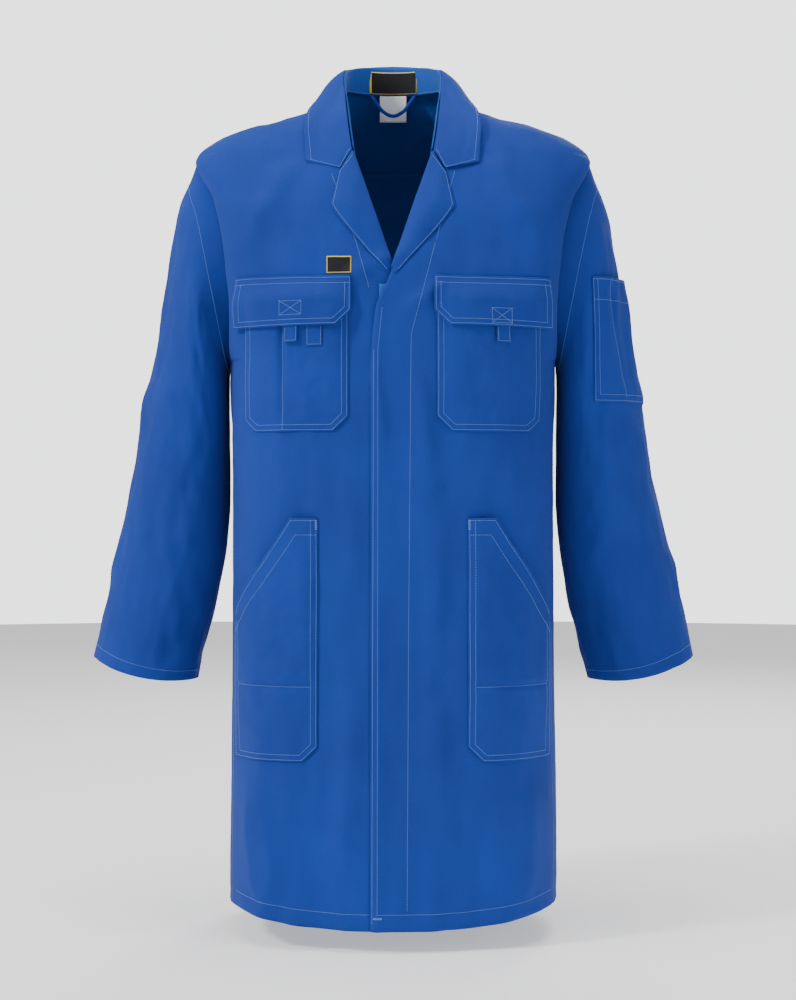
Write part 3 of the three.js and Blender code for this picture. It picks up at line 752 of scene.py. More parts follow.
def tones(material, amount, colour, low, high, start=0.0, end=1.0):
    """A colour that runs from a darker to a lighter tone with an amount."""
    ramp = add_node(material, "ValToRGB", {"Fac": amount})
    for stop, position, factor in zip(ramp.color_ramp.elements, (start, end), (low, high)):
        stop.position = position
        stop.color = (*(channel * factor for channel in colour), 1)
    return ramp.outputs["Color"]


def mix(material, blend, factor, first, second):
    node = add_node(material, "Mix", {"Factor": factor}, data_type="RGBA", blend_type=blend)
    feed(material, node, 6, first)
    feed(material, node, 7, second)
    return node.outputs[2]


def arithmetic(material, operation, *values):
    return add_node(material, "Math", enumerate(values), operation=operation).outputs["Value"]


def uneven_roughness(material, shader, amount, low, high):
    spread = add_node(material, "MapRange", {"Value": amount, "To Min": low, "To Max": high})
    feed(material, shader, "Roughness", spread.outputs["Result"])


def relief(material, shader, height, strength):
    """Bumps a fifth of a millimetre high."""
    bump = add_node(material, "Bump", {"Height": height, "Strength": strength, "Distance": 0.0002})
    feed(material, shader, "Normal", bump.outputs["Normal"])


def twill(name, colour, roughness=0.82, wale=0.0009, sheen=0.04):
    """Twill cloth: diagonal wales on the sheet's own map, uneven dye and lint."""
    material, shader = new_material(name, roughness, sheen)
    weave = add_node(material, "UVMap", uv_map="Weave").outputs["UV"]
    turn = add_node(material, "Mapping", {"Vector": weave, "Rotation": (0, 0, math.radians(27))})
    pattern = {"Vector": turn.outputs["Vector"], "Scale": 0.314 / wale, "Distortion": 0.6}
    pattern |= {"Detail": 1.0, "Detail Scale": 2.0}
    wales = add_node(material, "TexWave", pattern, wave_type="BANDS")
    dye = speckle(material, 9, 5).outputs["Fac"]
    lint = speckle(material, 420, 3)
    tone = tones(material, dye, colour, 0.88, 1.1, 0.32, 0.7)
    woven = mix(material, "SOFT_LIGHT", 0.3, tone, wales.outputs["Color"])
    feed(material, shader, "Base Color", mix(material, "OVERLAY", 0.16, woven, lint.outputs["Color"]))
    uneven_roughness(material, shader, dye, roughness - 0.08, roughness + 0.08)
    relief(material, shader, arithmetic(material, "ADD", wales.outputs["Fac"], lint.outputs["Fac"]), 0.35)
    return material


def yarn(name, colour, roughness=0.6, scale=1800):
    """Sewing thread or tape: fine strands with a little sheen."""
    material, shader = new_material(name, roughness, 0.25)
    strand = speckle(material, scale).outputs["Fac"]
    feed(material, shader, "Base Color", tones(material, strand, colour, 0.78, 1.15))
    relief(material, shader, strand, 0.4)
    return material


def label_satin(name, colour, edge, size, border=0.0009):
    """A blank woven label: a plain field with a narrow woven border, ribbed across."""
    material, shader = new_material(name, 0.45, 0.2)
    weave = add_node(material, "UVMap", uv_map="Weave").outputs["UV"]
    ribs = add_node(material, "TexWave", {"Vector": weave, "Scale": 700}, bands_direction="Y")
    split = add_node(material, "SeparateXYZ", {"Vector": weave})
    at_edge = []
    for axis, span in zip("XY", size):
        half = span * MM / 2
        away = arithmetic(material, "ABSOLUTE", arithmetic(material, "SUBTRACT", split.outputs[axis], half))
        at_edge.append(arithmetic(material, "GREATER_THAN", away, half - border))
    tone = mix(material, "MIX", arithmetic(material, "MAXIMUM", *at_edge), (*colour, 1), (*edge, 1))
    feed(material, shader, "Base Color", mix(material, "SOFT_LIGHT", 0.15, tone, ribs.outputs["Color"]))
    relief(material, shader, ribs.outputs["Fac"], 0.4)
    return material


def stud_steel(name, colour):
    """Bright steel, rubbed unevenly."""
    material, shader = new_material(name, 0.3, 0.0, 1.0, 0.5)
    wear = speckle(material, 300).outputs["Fac"]
    feed(material, shader, "Base Color", tones(material, wear, colour, 0.7, 1.1))
    uneven_roughness(material, shader, wear, 0.2, 0.45)
    return material


def coat_material(kind):
    """The shared finishes of the coat, each made once."""
    name = f"coat_{kind}"
    if name in bpy.data.materials:
        return bpy.data.materials[name]
    tint = bpy.context.scene.coat_colours
    makers = {
        "twill": (twill, tint.cloth),
        # The inner twill is the cloth's blue made lighter: painted light for the shaded inside.
        "inner_twill": (twill, tint.cloth_inside),
        "thread": (yarn, tint.thread),
        "tape": (yarn, tint.tape, 0.9, 700),
        "neck_label": (label_satin, tint.label, tint.label_border, NECK_LABEL),
        "chest_label": (label_satin, tint.label, tint.label_border, CHEST_LABEL),
        "care_label": (label_satin, tint.care_label, tint.care_label, CARE_LABEL),
        "steel": (stud_steel, tint.steel),
    }
    make, *settings = makers[kind]
    return make(name, *settings)


# ------------------------------------------------------------------ moving with the frame
FRONT_BODY = {1: "left_front", -1: "right_front"}
SLEEVE_BODY = {1: "left_sleeve", -1: "right_sleeve"}
FLAP_BODY = {1: "left_flap", -1: "right_flap"}
SIDE_NAME = {1: "left", -1: "right"}


def swing_with_front(obj, side):
    """The lower front opens about the side seam, and the cloth above it gives over a hand's width."""
    start, end = ((0, 0, z * MM) for z in OPENING)
    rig.blend(obj, "coat", FRONT_BODY[side], start=start, end=end)


def lift_with_sleeve(obj, side):
    """The arm lifts, and the cloth between the armhole and the upper arm bends."""
    start = Vector((side * 0.200, 0, -0.348))
    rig.blend(obj, "coat", SLEEVE_BODY[side], start=start, end=start + Vector((side * 0.075, 0, -0.027)))


def spaced(start, end, count):
    return [lerp(start, end, i / count) for i in range(count + 1)]


def armhole_rows(count):
    middle, half = (ARM_TOP + ARM_FOOT) / 2, ARMHOLE_LENGTH / 2
    return [middle - half * math.cos(math.pi * i / count) for i in range(count + 1)]


def row(rows, v):
    return rows[round(v * (len(rows) - 1))]


def shell_cloth(name, columns, rows, place, **form):
    """A panel of the shell, with its own inner face, whose blue is made lighter as painted light on the shaded inside.
    """
    obj = cloth(name, columns, rows, place, coat_material("twill"), sizes().cloth_thickness / MM, **form)
    obj.data.materials.append(coat_material("inner_twill"))
    # The inner face takes the lighter twill: painted light on the shaded inside of the coat.
    wall = obj.modifiers["Cloth thickness"]
    wall.material_offset, wall.material_offset_rim = 1, 0
    return obj


def dress(obj, slot, body=None, nodes=()):
    """Names the finish of a piece, what it moves with and which frame parts it stands for."""
    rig.slot(obj, slot)
    if nodes:
        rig.replaces(obj, *nodes)
    if body:
        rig.ride(obj, body)
    return obj


def sew(name, runs, body="coat", slot="cloth", pitch=None):
    """Stitching, given its finish and what it moves with."""
    return dress(stitches(name, runs, coat_material("thread"), pitch), slot, body)


def sew_front(name, side, runs, pitch=None):
    """Stitching on a front, each run a path of (x, z) with x counted outwards."""
    skin = lambda x, z: on_front(side, x, z, THREAD_LIFT)
    thread = sew(name, [walk(run, skin) for run in runs], None, pitch=pitch)
    swing_with_front(thread, side)
    return thread


# ------------------------------------------------------------------ shell
def make_back():
    rows = spaced(-BACK_LENGTH, ARM_FOOT, 104)[:-1] + armhole_rows(56)[:-1] + [ARM_TOP, YOKE_Z]

    def place(u, v):
        z = row(rows, v)
        across = (2 * u - 1) * (2 - side_seam(z) + 0.012)
        turn = abs(across) > 1
        q = math.copysign(2 - abs(across), across) if turn else across
        face = -1 if turn else 1
        x = body_point(face, q, z).x
        return on_body(face, q, at_hem(face, x, z), SKIN - (0.5 if turn else 0))

    back = shell_cloth("back_panel_cloth", 150, len(rows) - 1, place)
    dress(back, "cloth", "coat", ["back_panel"])

    z = -BACK_LENGTH + HEM_STITCH
    hem = [on_body(1, q, at_hem(1, body_point(1, q, z).x, z), SKIN + THREAD_LIFT) for q in spaced(-0.985, 0.985, 160)]
    hung(back, [], [sew("back_hem_stitching", [hem])])


def make_yoke():
    rows = spaced(YOKE_Z - 7, -1, 36)

    def place(u, v):
        z = row(rows, v)
        edge = ease((YOKE_Z + 9 - z) / 16)
        return on_body(1, 2 * u - 1, z, SKIN + 1.2 + 0.3 * edge)

    yoke = shell_cloth("back_yoke_cloth", 120, len(rows) - 1, place)
    dress(yoke, "cloth", "coat", ["back_yoke"])
    runs = [[on_body(1, q, z, SKIN + 1.6) for q in spaced(-0.97, 0.97, 150)] for z in (YOKE_Z - 5, YOKE_Z + 1)]
    hung(yoke, ["back_panel_cloth"], [sew("yoke_stitching", runs)])


FACING_STITCH = {
    1: [(74, -126), (50, -217), (22, -323), (21.6, -342), (19, -640), (16.8, -999)],
    -1: [(73, -130), (44, -212), (28, -268)],
}
LAP_STITCH = (
    [(-12.5, -292), (-17.4, -342), (-17.6, -700), (-18, -1003)],
    [(-22.5, -342), (-23.5, -700), (-24, -1013)],
)
SHOULDER_STITCH = [(98, -36), (150, -54), (200, -75), (226, -88)]
BAR_TACK = [[(-23, z), (-13, z)] for z in (-1008, -1007.5, -1007, -1006.5, -1006)]


def make_front(side):
    name = SIDE_NAME[side]
    rows = spaced(-BACK_LENGTH, ARM_FOOT, 130)[:-1] + armhole_rows(56)[:-1] + spaced(ARM_TOP, -9, 26)

    def place(u, v):
        z = row(rows, v)
        inner = side_of(front_edge(z), z)
        q = lerp(inner, side_seam(z), u)
        x = body_point(-1, q, z).x
        seam = 0.5 * ease((u - 0.97) / 0.02) * ease((ARM_FOOT - z) / 20)
        below = at_hem(-1, x, z)
        return on_body(-1, side * q, below, SKIN + under_left(side, x, z) + seam)

    front = shell_cloth(f"front_{name}_cloth", 84, len(rows) - 1, place)
    dress(front, "cloth", None, [f"front_chest_{name}", f"front_skirt_{name}"])
    swing_with_front(front, side)
    hem = [(x, at_hem(-1, x, -BACK_LENGTH + HEM_STITCH)) for x in spaced(-17 if side > 0 else 20, 188, 30)]
    side_heights = (-1004, -700, -400, ARM_FOOT - 14)
    seam = [(half_width(z) * math.sin(side_seam(z) * math.pi / 2) - 2, z) for z in side_heights]
    laps = LAP_STITCH if side > 0 else ()
    runs = [hem, FACING_STITCH[side], seam, *laps, SHOULDER_STITCH]
    pieces = [sew_front(f"front_{name}_stitching", side, runs)]
    if side > 0:
        pieces.append(sew_front("front_bar_tack", 1, BAR_TACK, 2.2))
    hung(front, ["back_yoke_cloth", "back_panel_cloth"], pieces)


def make_fly():
    """The hidden strip that carries the sockets behind the left front."""
    def place(u, v):
        x, z = lerp(-16, 18, u), lerp(-1000, -264, v)
        return on_body(-1, side_of(x, z), z, SKIN + LAP_STACK - 1.4)

    strip = cloth("fly_strip_cloth", 12, 150, place, coat_material("inner_twill"), 0.9)
    dress(strip, "cloth_inside", None, ["fly_strip_chest", "fly_strip_skirt"])
    swing_with_front(strip, 1)
    hung(strip, ["front_left_cloth"])


# ------------------------------------------------------------------ studs
STUD_TOP, STUD_PITCH, STUD_COUNT = -285.0, 126.0, 6
STUD_OUTLINE = [(0, 0), (6, 0), (6, 0.5), (5.2, 0.9), (3.4, 0.9), (2.6, 1.3), (0, 1.3)]
SOCKET_OUTLINE = [(2.4, 0), (6, 0), (6, 1.0), (4.5, 1.3), (2.4, 1.3), (2.0, 0.5)]


def make_stud(number, socket):
    """A press stud on the right front, or its ring socket on the strip over it, spun from half its section."""
    z = STUD_TOP - number * STUD_PITCH
    centre = 0.001
    foot = on_body(-1, centre, z, SKIN + (1.45 if socket else 0.05))
    bm = bmesh.new()
    turn = body_normal(-1, centre, z).to_track_quat("Z", "Y").to_matrix().to_4x4()
    place = Matrix.Translation(foot * MM) @ turn
    verts = [bm.verts.new((r * MM, 0, h * MM)) for r, h in (SOCKET_OUTLINE if socket else STUD_OUTLINE)]
    edges = [bm.edges.new(pair) for pair in zip(verts, verts[1:])]
    if socket:
        edges.append(bm.edges.new((verts[-1], verts[0])))
    bmesh.ops.spin(
        bm, geom=verts + edges, cent=(0, 0, 0), axis=(0, 0, 1), angle=2 * math.pi, steps=28, use_merge=True
    )
    bmesh.ops.remove_doubles(bm, verts=bm.verts, dist=1e-6)
    bmesh.ops.recalc_face_normals(bm, faces=bm.faces)
    bmesh.ops.transform(bm, matrix=place, verts=bm.verts)
    kind = "press_socket" if socket else "press_stud"
    obj = finish_mesh(bm, f"{kind}_{number + 1}_metal")
    obj.data.materials.append(coat_material("steel"))
    dress(obj, "steel", None, [f"{kind}_{number + 1}"])
    if z > OPENING[0]:
        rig.ride(obj, "coat")
    else:
        swing_with_front(obj, 1 if socket else -1)


# ------------------------------------------------------------------ revers and collar
def lapel_roll(v):
    return lerp(GORGE[0], 0, v), lerp(GORGE[1] - 1, BREAK_Z - 6, v)


def lapel_leaf(v):
    if v < 0.4:
        return lerp(NOTCH[0] + 1, LAPEL_TIP[0], v / 0.4), lerp(NOTCH[1] - 2, LAPEL_TIP[1], v / 0.4)
    t = (v - 0.4) / 0.6
    return lerp(LAPEL_TIP[0], 2, t**1.15), lerp(LAPEL_TIP[1], LAPEL_FOOT[1], t)


def lapel_point(side, u, v, lift=0.0):
    """u runs from the roll line to the free edge, v from the gorge to the foot."""
    roll = 0.12
    across = max(0.0, (u - roll) / (1 - roll))
    (ax, az), (bx, bz) = lapel_roll(v), lapel_leaf(v)
    x, z = lerp(ax, bx, across), lerp(az, bz, across)
    soft = 5.5 * math.sin(math.pi * across) ** 0.8 * math.sin(math.pi * clamp(v + 0.02))
    height = 1.5 + soft + 0.8 * noise.noise(Vector((x * 0.06, z * 0.04, side)))
    if u < roll:
        a = u / roll
        x -= 2.2 * math.sin(math.pi * a)
        height *= a
        height -= 1.2 * (1 - a)
    return on_front(side, x, z, height + lift)


def make_lapel(side):
    name = SIDE_NAME[side]
    place = lambda u, v: lapel_point(side, u, v)
    lapel = cloth(f"lapel_{name}_cloth", 36, 48, place, coat_material("twill"), 1.3)
    dress(lapel, "cloth", "coat", [f"lapel_{name}"])
    edge = [lapel_point(side, 0.94, v, THREAD_LIFT) for v in spaced(0.03, 0.97, 90)]
    top = [lapel_point(side, u, 0.035, THREAD_LIFT) for u in spaced(0.16, 0.94, 20)]
    hung(lapel, [f"front_{name}_cloth"], [sew(f"lapel_{name}_stitching", [top, edge])])


def collar_skin(t, v, lift=0.0):
    """The turned-down collar, with its rolled fold, for either side: t from -1 to 1."""
    side = -1 if t < 0 else 1
    roll = 0.1
    p = collar_point(abs(t), max(0.0, (v - roll) / (1 - roll)), lift)
    if v < roll:
        a = v / roll
        at = fold_line(abs(t))
        away = Vector((at.x, at.y, 0)).normalized()
        soft = lerp(1, 0.2, ease((abs(t) - 0.6) / 0.4))
        p -= away * 4.4 * (1 - a) * soft
        p.z += (2.2 * math.sin(math.pi * a) - 3.2 * (1 - a) ** 2) * soft
    return Vector((side * p.x, p.y, p.z))


def make_collar():
    place = lambda u, v: collar_skin(2 * u - 1, v)
    away = lambda c: Vector((0, 0, c.z))
    collar = cloth("upper_collar_cloth", 180, 30, place, coat_material("twill"), 1.4, inside=away)
    dress(collar, "cloth", "coat", ["upper_collar"])
    edge = [collar_skin(t, 0.92, THREAD_LIFT) for t in spaced(-0.985, 0.985, 300)]
    ends = [[collar_skin(t, v, THREAD_LIFT) for v in spaced(0.15, 0.92, 30)] for t in (-0.985, 0.985)]
    hung(collar, ["back_yoke_cloth"], [sew("collar_stitching", [edge, *ends])])

    def stand_point(u, v):
        t = 0.985 * abs(2 * u - 1)
        p = neck_seam(t).lerp(fold_line(t), v)
        p -= Vector((p.x, p.y, 0)).normalized() * (2.6 + 1.0 * math.sin(math.pi * v))
        return Vector((p.x if u > 0.5 else -p.x, p.y, p.z))

    # The stand is in the lighter inner twill: painted light on the shaded inside of the neck.
    stand = cloth("collar_stand_cloth", 150, 12, stand_point, coat_material("inner_twill"), 1.2, inside=away)
    dress(stand, "cloth_inside", "coat", ["collar_stand"])
    seam = [stand_point(u, 0.06) for u in spaced(0.02, 0.98, 240)]
    seam = [p - Vector((p.x, p.y, 0)).normalized() * 1.3 for p in seam]
    hung(stand, ["back_yoke_cloth"], [sew("stand_stitching", [seam], slot="cloth_inside")])


# ------------------------------------------------------------------ chest pockets
CHEST = {"inner": 52.0, "outer": 176.0, "top": -284.0, "bottom": -438.0, "cut_in": 18.0, "cut_out": 14.0}
FLAP = {"inner": 49.0, "outer": 187.0, "top": -254.0, "bottom": -313.0, "cut_in": 18.0, "cut_out": 0.0}
CHEST_POUCH = 7.0
DIVIDER_X = 129.0
PATCH = {"inner": 104.0, "bottom": -308.0, "size": 20.0}
PULL_TAB = {"inner": {1: 120, -1: 110}, "width": 16.0, "above": 5.0, "below": 19.0}
BOX_STITCH = {1: (115, 138, -292, -309), -1: (106, 131, -284, -300)}


def pillow(x):
    """How full a chest pocket is across its width."""
    middle, half = (CHEST["inner"] + CHEST["outer"]) / 2, (CHEST["outer"] - CHEST["inner"]) / 2
    return max(0.0, 1 - abs((x - middle) / half) ** 4)


def ripple(x, z, seed, *waves):
    """The unevenness of a soft patch, from waves of (height, across, down, seed factor)."""
    return sum(height * noise.noise(Vector((x * across, z * down, seed * k))) for height, across, down, k in waves)


def pucker(along):
    """The small regular ripple that a seam draws in the cloth."""
    return noise.noise(Vector((along * 0.16, 1.7, 4.2)))


def pocket_lift(side, x, z):
    """How far a chest pocket stands off the front, less along the seam that divides the right one."""
    v = clamp((CHEST["top"] - z) / (CHEST["top"] - CHEST["bottom"]))
    seam = 0.55 * math.exp(-(((x - DIVIDER_X) / 4) ** 2)) if side < 0 else 0.0
    soft = ripple(x, z, side, (1.6, 0.035, 0.025, 7), (0.7, 0.1, 0.08, 4))
    return 1.3 + CHEST_POUCH * pillow(x) * (1 - v**4) * (1 - seam) + pillow(x) * soft + 0.3 * pucker(x + z)


def flap_lift(side, x, z):
    """How far a flap stands off the front, lying over the mouth of its pocket."""
    over = ease((FLAP["top"] - z) / (FLAP["top"] - CHEST["top"]))
    edge = 0.25 + 0.75 * pillow(clamp(x, CHEST["inner"] + 3, CHEST["outer"] - 3))
    soft = ripple(x, z, side, (1.3, 0.035, 0.05, 3)) + 0.4 * pucker(x)
    return 1.9 + over * (CHEST_POUCH * edge + 1.4 + 2.6 * edge + soft)


def patch_foot(p, x):
    """The lower edge of a patch at x, raised where its corners are cut."""
    z = p["bottom"]
    for cut, inwards in ((p["cut_in"], x - p["inner"]), (p["cut_out"], p["outer"] - x)):
        if cut:
            z += cut * clamp(1 - inwards / cut)
    return z


def sewn_edge(p, inset, start, end):
    """The line sewn round a patch inside its edge, from the height start on its inner side to end on its outer."""
    k = MITRE * inset
    line = [
        (p["inner"] + inset, start),
        (p["inner"] + inset, p["bottom"] + p["cut_in"] + k),
        (p["inner"] + p["cut_in"] + k, p["bottom"] + inset),
    ]
    if p["cut_out"]:
        line.append((p["outer"] - p["cut_out"] - k, p["bottom"] + inset))
        line.append((p["outer"] - inset, p["bottom"] + p["cut_out"] + k))
    else:
        line.append((p["outer"] - inset, p["bottom"] + inset))
    return [*line, (p["outer"] - inset, end)]


def make_chest_pocket(side):
    name, p = SIDE_NAME[side], CHEST

    def place(u, v):
        x = lerp(p["inner"], p["outer"], u)
        z = lerp(patch_foot(p, x), p["top"], v)
        return on_front(side, x, z, pocket_lift(side, x, z))

    pocket = cloth(f"chest_pocket_{name}_cloth", 62, 70, place, coat_material("twill"), POCKET_THICK)
    dress(pocket, "cloth", "coat", [f"chest_pocket_{name}"])
    skin = lambda x, z: on_front(side, x, z, pocket_lift(side, x, z) + THREAD_LIFT)
    lines = [sewn_edge(p, inset, p["top"] - 2, p["top"] - 2) for inset in (2.0, 8.0)]
    if side < 0:
        lines.append([(DIVIDER_X, -292), (DIVIDER_X, p["bottom"] + 3)])
    thread = sew(f"chest_pocket_{name}_stitching", [walk(line, skin) for line in lines])
    hung(pocket, [f"front_{name}_cloth"], [thread])


def make_patch(name, side, body, lift):
    """One half of a hook and loop fastener, at lift(side, x, z) off the front."""
    def place(u, v):
        x = PATCH["inner"] + PATCH["size"] * u
        z = PATCH["bottom"] + PATCH["size"] * v
        return on_front(side, x, z, lift(side, x, z))

    patch = cloth(f"{name}_tape", 8, 8, place, coat_material("tape"), TAPE_THICK)
    return dress(patch, "fastener_tape", body, [name])


def make_tab(name, side, body, edges, lift, thick):
    """A narrow tab between edges (inner, outer, foot, top), a little rounded across."""
    inner, outer, foot, top = edges

    def place(u, v):
        x, z = lerp(inner, outer, u), lerp(foot, top, v)
        return on_front(side, x, z, lift(side, x, z) + 0.5 * math.sin(math.pi * u))

    tab = cloth(f"{name}_cloth", 10, 14, place, coat_material("twill"), thick)
    return dress(tab, "cloth", body, [name])


def make_flap(side):
    """A flap with the tab, the hook patch and the stitching that move with it, and the loop patch below."""
    name, body, f = SIDE_NAME[side], FLAP_BODY[side], FLAP

    def place(u, v):
        x = lerp(f["inner"], f["outer"], u)
        z = lerp(patch_foot(f, x), f["top"], v)
        return on_front(side, x, z, flap_lift(side, x, z))

    flap = cloth(f"flap_{name}_cloth", 66, 32, place, coat_material("twill"), FLAP_THICK)
    dress(flap, "cloth", body, [f"pocket_flap_{name}"])
    skin = lambda x, z: on_front(side, x, z, flap_lift(side, x, z) + THREAD_LIFT)
    lines = [sewn_edge(f, inset, f["top"] - inset, f["top"] - inset) for inset in (2.0, 7.5)]
    lines += [[(f["inner"] + 2, f["top"] - down), (f["outer"] - 2, f["top"] - down)] for down in (2.5, 9)]
    x0, x1, z1, z0 = BOX_STITCH[side]
    lines.append([(x0, z0), (x1, z0), (x1, z1), (x0, z1), (x0, z0), (x1, z1)])
    lines.append([(x0, z1), (x1, z0)])
    thread = sew(f"flap_{name}_stitching", [walk(line, skin) for line in lines], body)
    under = lambda side, x, z: flap_lift(side, x, z) - UNDER_FLAP
    hook = make_patch(f"hook_patch_{name}", side, body, under)
    inner, foot = PULL_TAB["inner"][side], f["bottom"] - PULL_TAB["below"]
    edges = (inner, inner + PULL_TAB["width"], foot, f["bottom"] + PULL_TAB["above"])
    tab = make_tab(f"pull_tab_{name}", side, body, edges, under, 1.4)
    x0, x1, z0, z1 = inner + 1.6, inner + 14.4, foot + 2, f["bottom"] - 1
    tab_skin = lambda x, z: on_front(side, x, z, flap_lift(side, x, z) - 1.2)
    tab_thread = sew(f"pull_tab_{name}_stitching", [walk([(x0, z1), (x0, z0), (x1, z0), (x1, z1)], tab_skin)], body)
    hung(flap, [f"front_{name}_cloth"], [thread, hook, tab, tab_thread])
    make_patch(f"loop_patch_{name}", side, "coat", lambda side, x, z: pocket_lift(side, x, z) + 0.75)


def make_chest_trim():
    """The narrow second tab below the right flap, and the blank woven label above it."""
    tab_lift = lambda side, x, z: pocket_lift(side, x, z) + 1.1
    tab = make_tab("pocket_tab_right", -1, "coat", (82, 101, -337, -310), tab_lift, 1.0)
    skin = lambda x, z: on_front(-1, x, z, pocket_lift(-1, x, z) + 1.65)
    edge = [(83.6, -314), (83.6, -335.2), (99.4, -335.2), (99.4, -314)]
    hung(tab, ["chest_pocket_right_cloth"], [sew("pocket_tab_stitching", [walk(edge, skin)])])
    width, height = CHEST_LABEL

    def label_point(u, v):
        return on_front(-1, lerp(49 + width, 49, u), lerp(-251, -251 + height, v), 0.9)

    label = cloth("chest_label_satin", 14, 10, label_point, coat_material("chest_label"), 0.6)
    dress(label, "label_black", "coat", ["chest_label"])
    hung(label, ["front_right_cloth"])


# ------------------------------------------------------------------ hip pockets
HIP = {"inner": 88.0, "outer": 189.0, "top": -541.0, "bottom": -828.0, "cut_in": 18.0, "cut_out": 0.0}
HIP_MOUTH = {"start": 119.0, "end_z": -654.0}
HIP_POUCH = 8.0
HIP_SEAM_Z = -740.0


def hip_top(x):
    """The upper edge: level by the inner side, then slanting down as the mouth."""
    t = clamp((x - HIP_MOUTH["start"]) / (HIP["outer"] - HIP_MOUTH["start"]))
    return lerp(HIP["top"], HIP_MOUTH["end_z"], t)


def hip_lift(side, x, z):
    u = clamp((x - HIP["inner"]) / (HIP["outer"] - HIP["inner"]))
    v = clamp((HIP["top"] - z) / (HIP["top"] - HIP["bottom"]))
    seam = 0.35 * math.exp(-(((z - HIP_SEAM_Z) / 4) ** 2))
    full = (1 - abs(2 * u - 1) ** 4) * (1 - v**6)
    soft = ripple(x, z, side, (2.2, 0.03, 0.016, 5), (0.8, 0.09, 0.06, 2))
    return 1.3 + HIP_POUCH * full * (1 - seam) + full * soft + 0.3 * pucker(x + z)


def make_hip_pocket(side):
    name, p = SIDE_NAME[side], HIP

    def place(u, v):
        x = lerp(p["inner"], p["outer"], u)
        z = lerp(patch_foot(p, x), hip_top(x), v)
        return on_front(side, x, z, hip_lift(side, x, z))

    skin = lambda x, z: on_front(side, x, z, hip_lift(side, x, z) + THREAD_LIFT)

    def sew_pocket(kind, lines, pitch=None):
        thread = sew(f"hip_pocket_{name}_{kind}", [walk(line, skin) for line in lines], None, pitch=pitch)
        swing_with_front(thread, side)
        return thread

    pocket = cloth(f"hip_pocket_{name}_cloth", 52, 120, place, coat_material("twill"), POCKET_THICK)
    dress(pocket, "cloth", None, [f"hip_pocket_{name}"])
    swing_with_front(pocket, side)
    top, end = p["top"], HIP_MOUTH["end_z"]
    lines = [sewn_edge(p, inset, top - 2, end - 12) for inset in (2.0, 8.0)]
    for i in (3.0, 20.0):
        bend = (HIP_MOUTH["start"] - 0.3 * i, top - i)
        lines.append([(p["inner"] + 2, top - i), bend, (p["outer"] - 2, end - 1.3 * i)])
    lines.append([(p["inner"] + 9, HIP_SEAM_Z), (p["outer"] - 9, HIP_SEAM_Z)])
    tacks = [[(x, top - 2), (x, top - 13)] for x in spaced(p["inner"] + 1, p["inner"] + 2.8, 3)]
    hung(pocket, [f"front_{name}_cloth"], [sew_pocket("stitching", lines), sew_pocket("tack", tacks, 2.0)])


# ------------------------------------------------------------------ sleeves
PEN = {"front_top": -0.44, "front_foot": -0.52, "back": 0.25, "top": -248.0, "length": 152.0}
PEN_POUCH = 5.0
HEAD_LAP = {"share": 0.03, "inwards": 3.5, "lift": 0.8}


def sleeve_t(z):
    return (ARM_TOP - z) / (SLEEVE_DROP - CUFF_RISE)


def sleeve_skin(side, angle, t, lift):
    """The sleeve with its head lapped a little way over the edge of the armhole."""
    lap = max(0.0, 1 - t / HEAD_LAP["share"]) ** 2
    p = sleeve_point(side, angle, t, lift + HEAD_LAP["lift"] * lap)
    p.x -= side * HEAD_LAP["inwards"] * lap
    return p


def sleeve_axis(side):
    """A guide to the middle of the sleeve beside a point."""
    def middle(c):
        t = clamp(sleeve_t(c.z / MM))
        return Vector((side * (sleeve_in(t) + sleeve_width(t) / 2) * MM, 0.008, c.z))

    return middle


def make_sleeve(side):
    name = SIDE_NAME[side]
    place = lambda u, v: sleeve_skin(side, (2 * u + 1) * math.pi, v**1.2, 0)
    sleeve = shell_cloth(f"sleeve_{name}_cloth", 96, 150, place, inside=sleeve_axis(side), closed=True)
    dress(sleeve, "cloth", None, [f"sleeve_front_{name}", f"sleeve_back_{name}"])
    lift_with_sleeve(sleeve, side)
    turn = spaced(0, 2 * math.pi, 160)
    runs = [[sleeve_skin(side, angle, t, THREAD_LIFT) for angle in turn] for t in (0.974, 0.045)]
    thread = sew(f"sleeve_{name}_stitching", runs, None)
    lift_with_sleeve(thread, side)
    hung(sleeve, [f"front_{name}_cloth", "back_panel_cloth"], [thread])


def sleeve_at(angle, z):
    """How far down the sleeve a height is reached along one angle."""
    low, high = 0.0, 1.0
    for _ in range(18):
        t = (low + high) / 2
        if sleeve_point(1, angle, t, 0).z > z:
            low = t
        else:
            high = t
    return low


def pen_divide(v):
    return lerp(0.2, 0.29, v)


def pen_point(u, v, extra=0.0):
    """u runs round the arm and v down the pocket, both from 0 to 1."""
    divide = 0.6 * math.exp(-(((u - pen_divide(v)) / 0.03) ** 2))
    lift = PEN_POUCH * (1 - abs(2 * u - 1) ** 4) * (1 - clamp(v) ** 4) * (1 - divide * ease((v - 0.02) / 0.1))
    angle = lerp(lerp(PEN["front_top"], PEN["front_foot"], v), PEN["back"], u) * math.pi
    t = sleeve_at(angle, PEN["top"] - PEN["length"] * v)
    return sleeve_point(1, angle, t, 1.3 + lift + extra)


def dense(path, count=60):
    """The points of a path with count steps along each of its lines."""
    out = []
    for (ax, ay), (bx, by) in zip(path, path[1:]):
        out += list(zip(spaced(ax, bx, count), spaced(ay, by, count)))[:-1]
    return [*out, path[-1]]


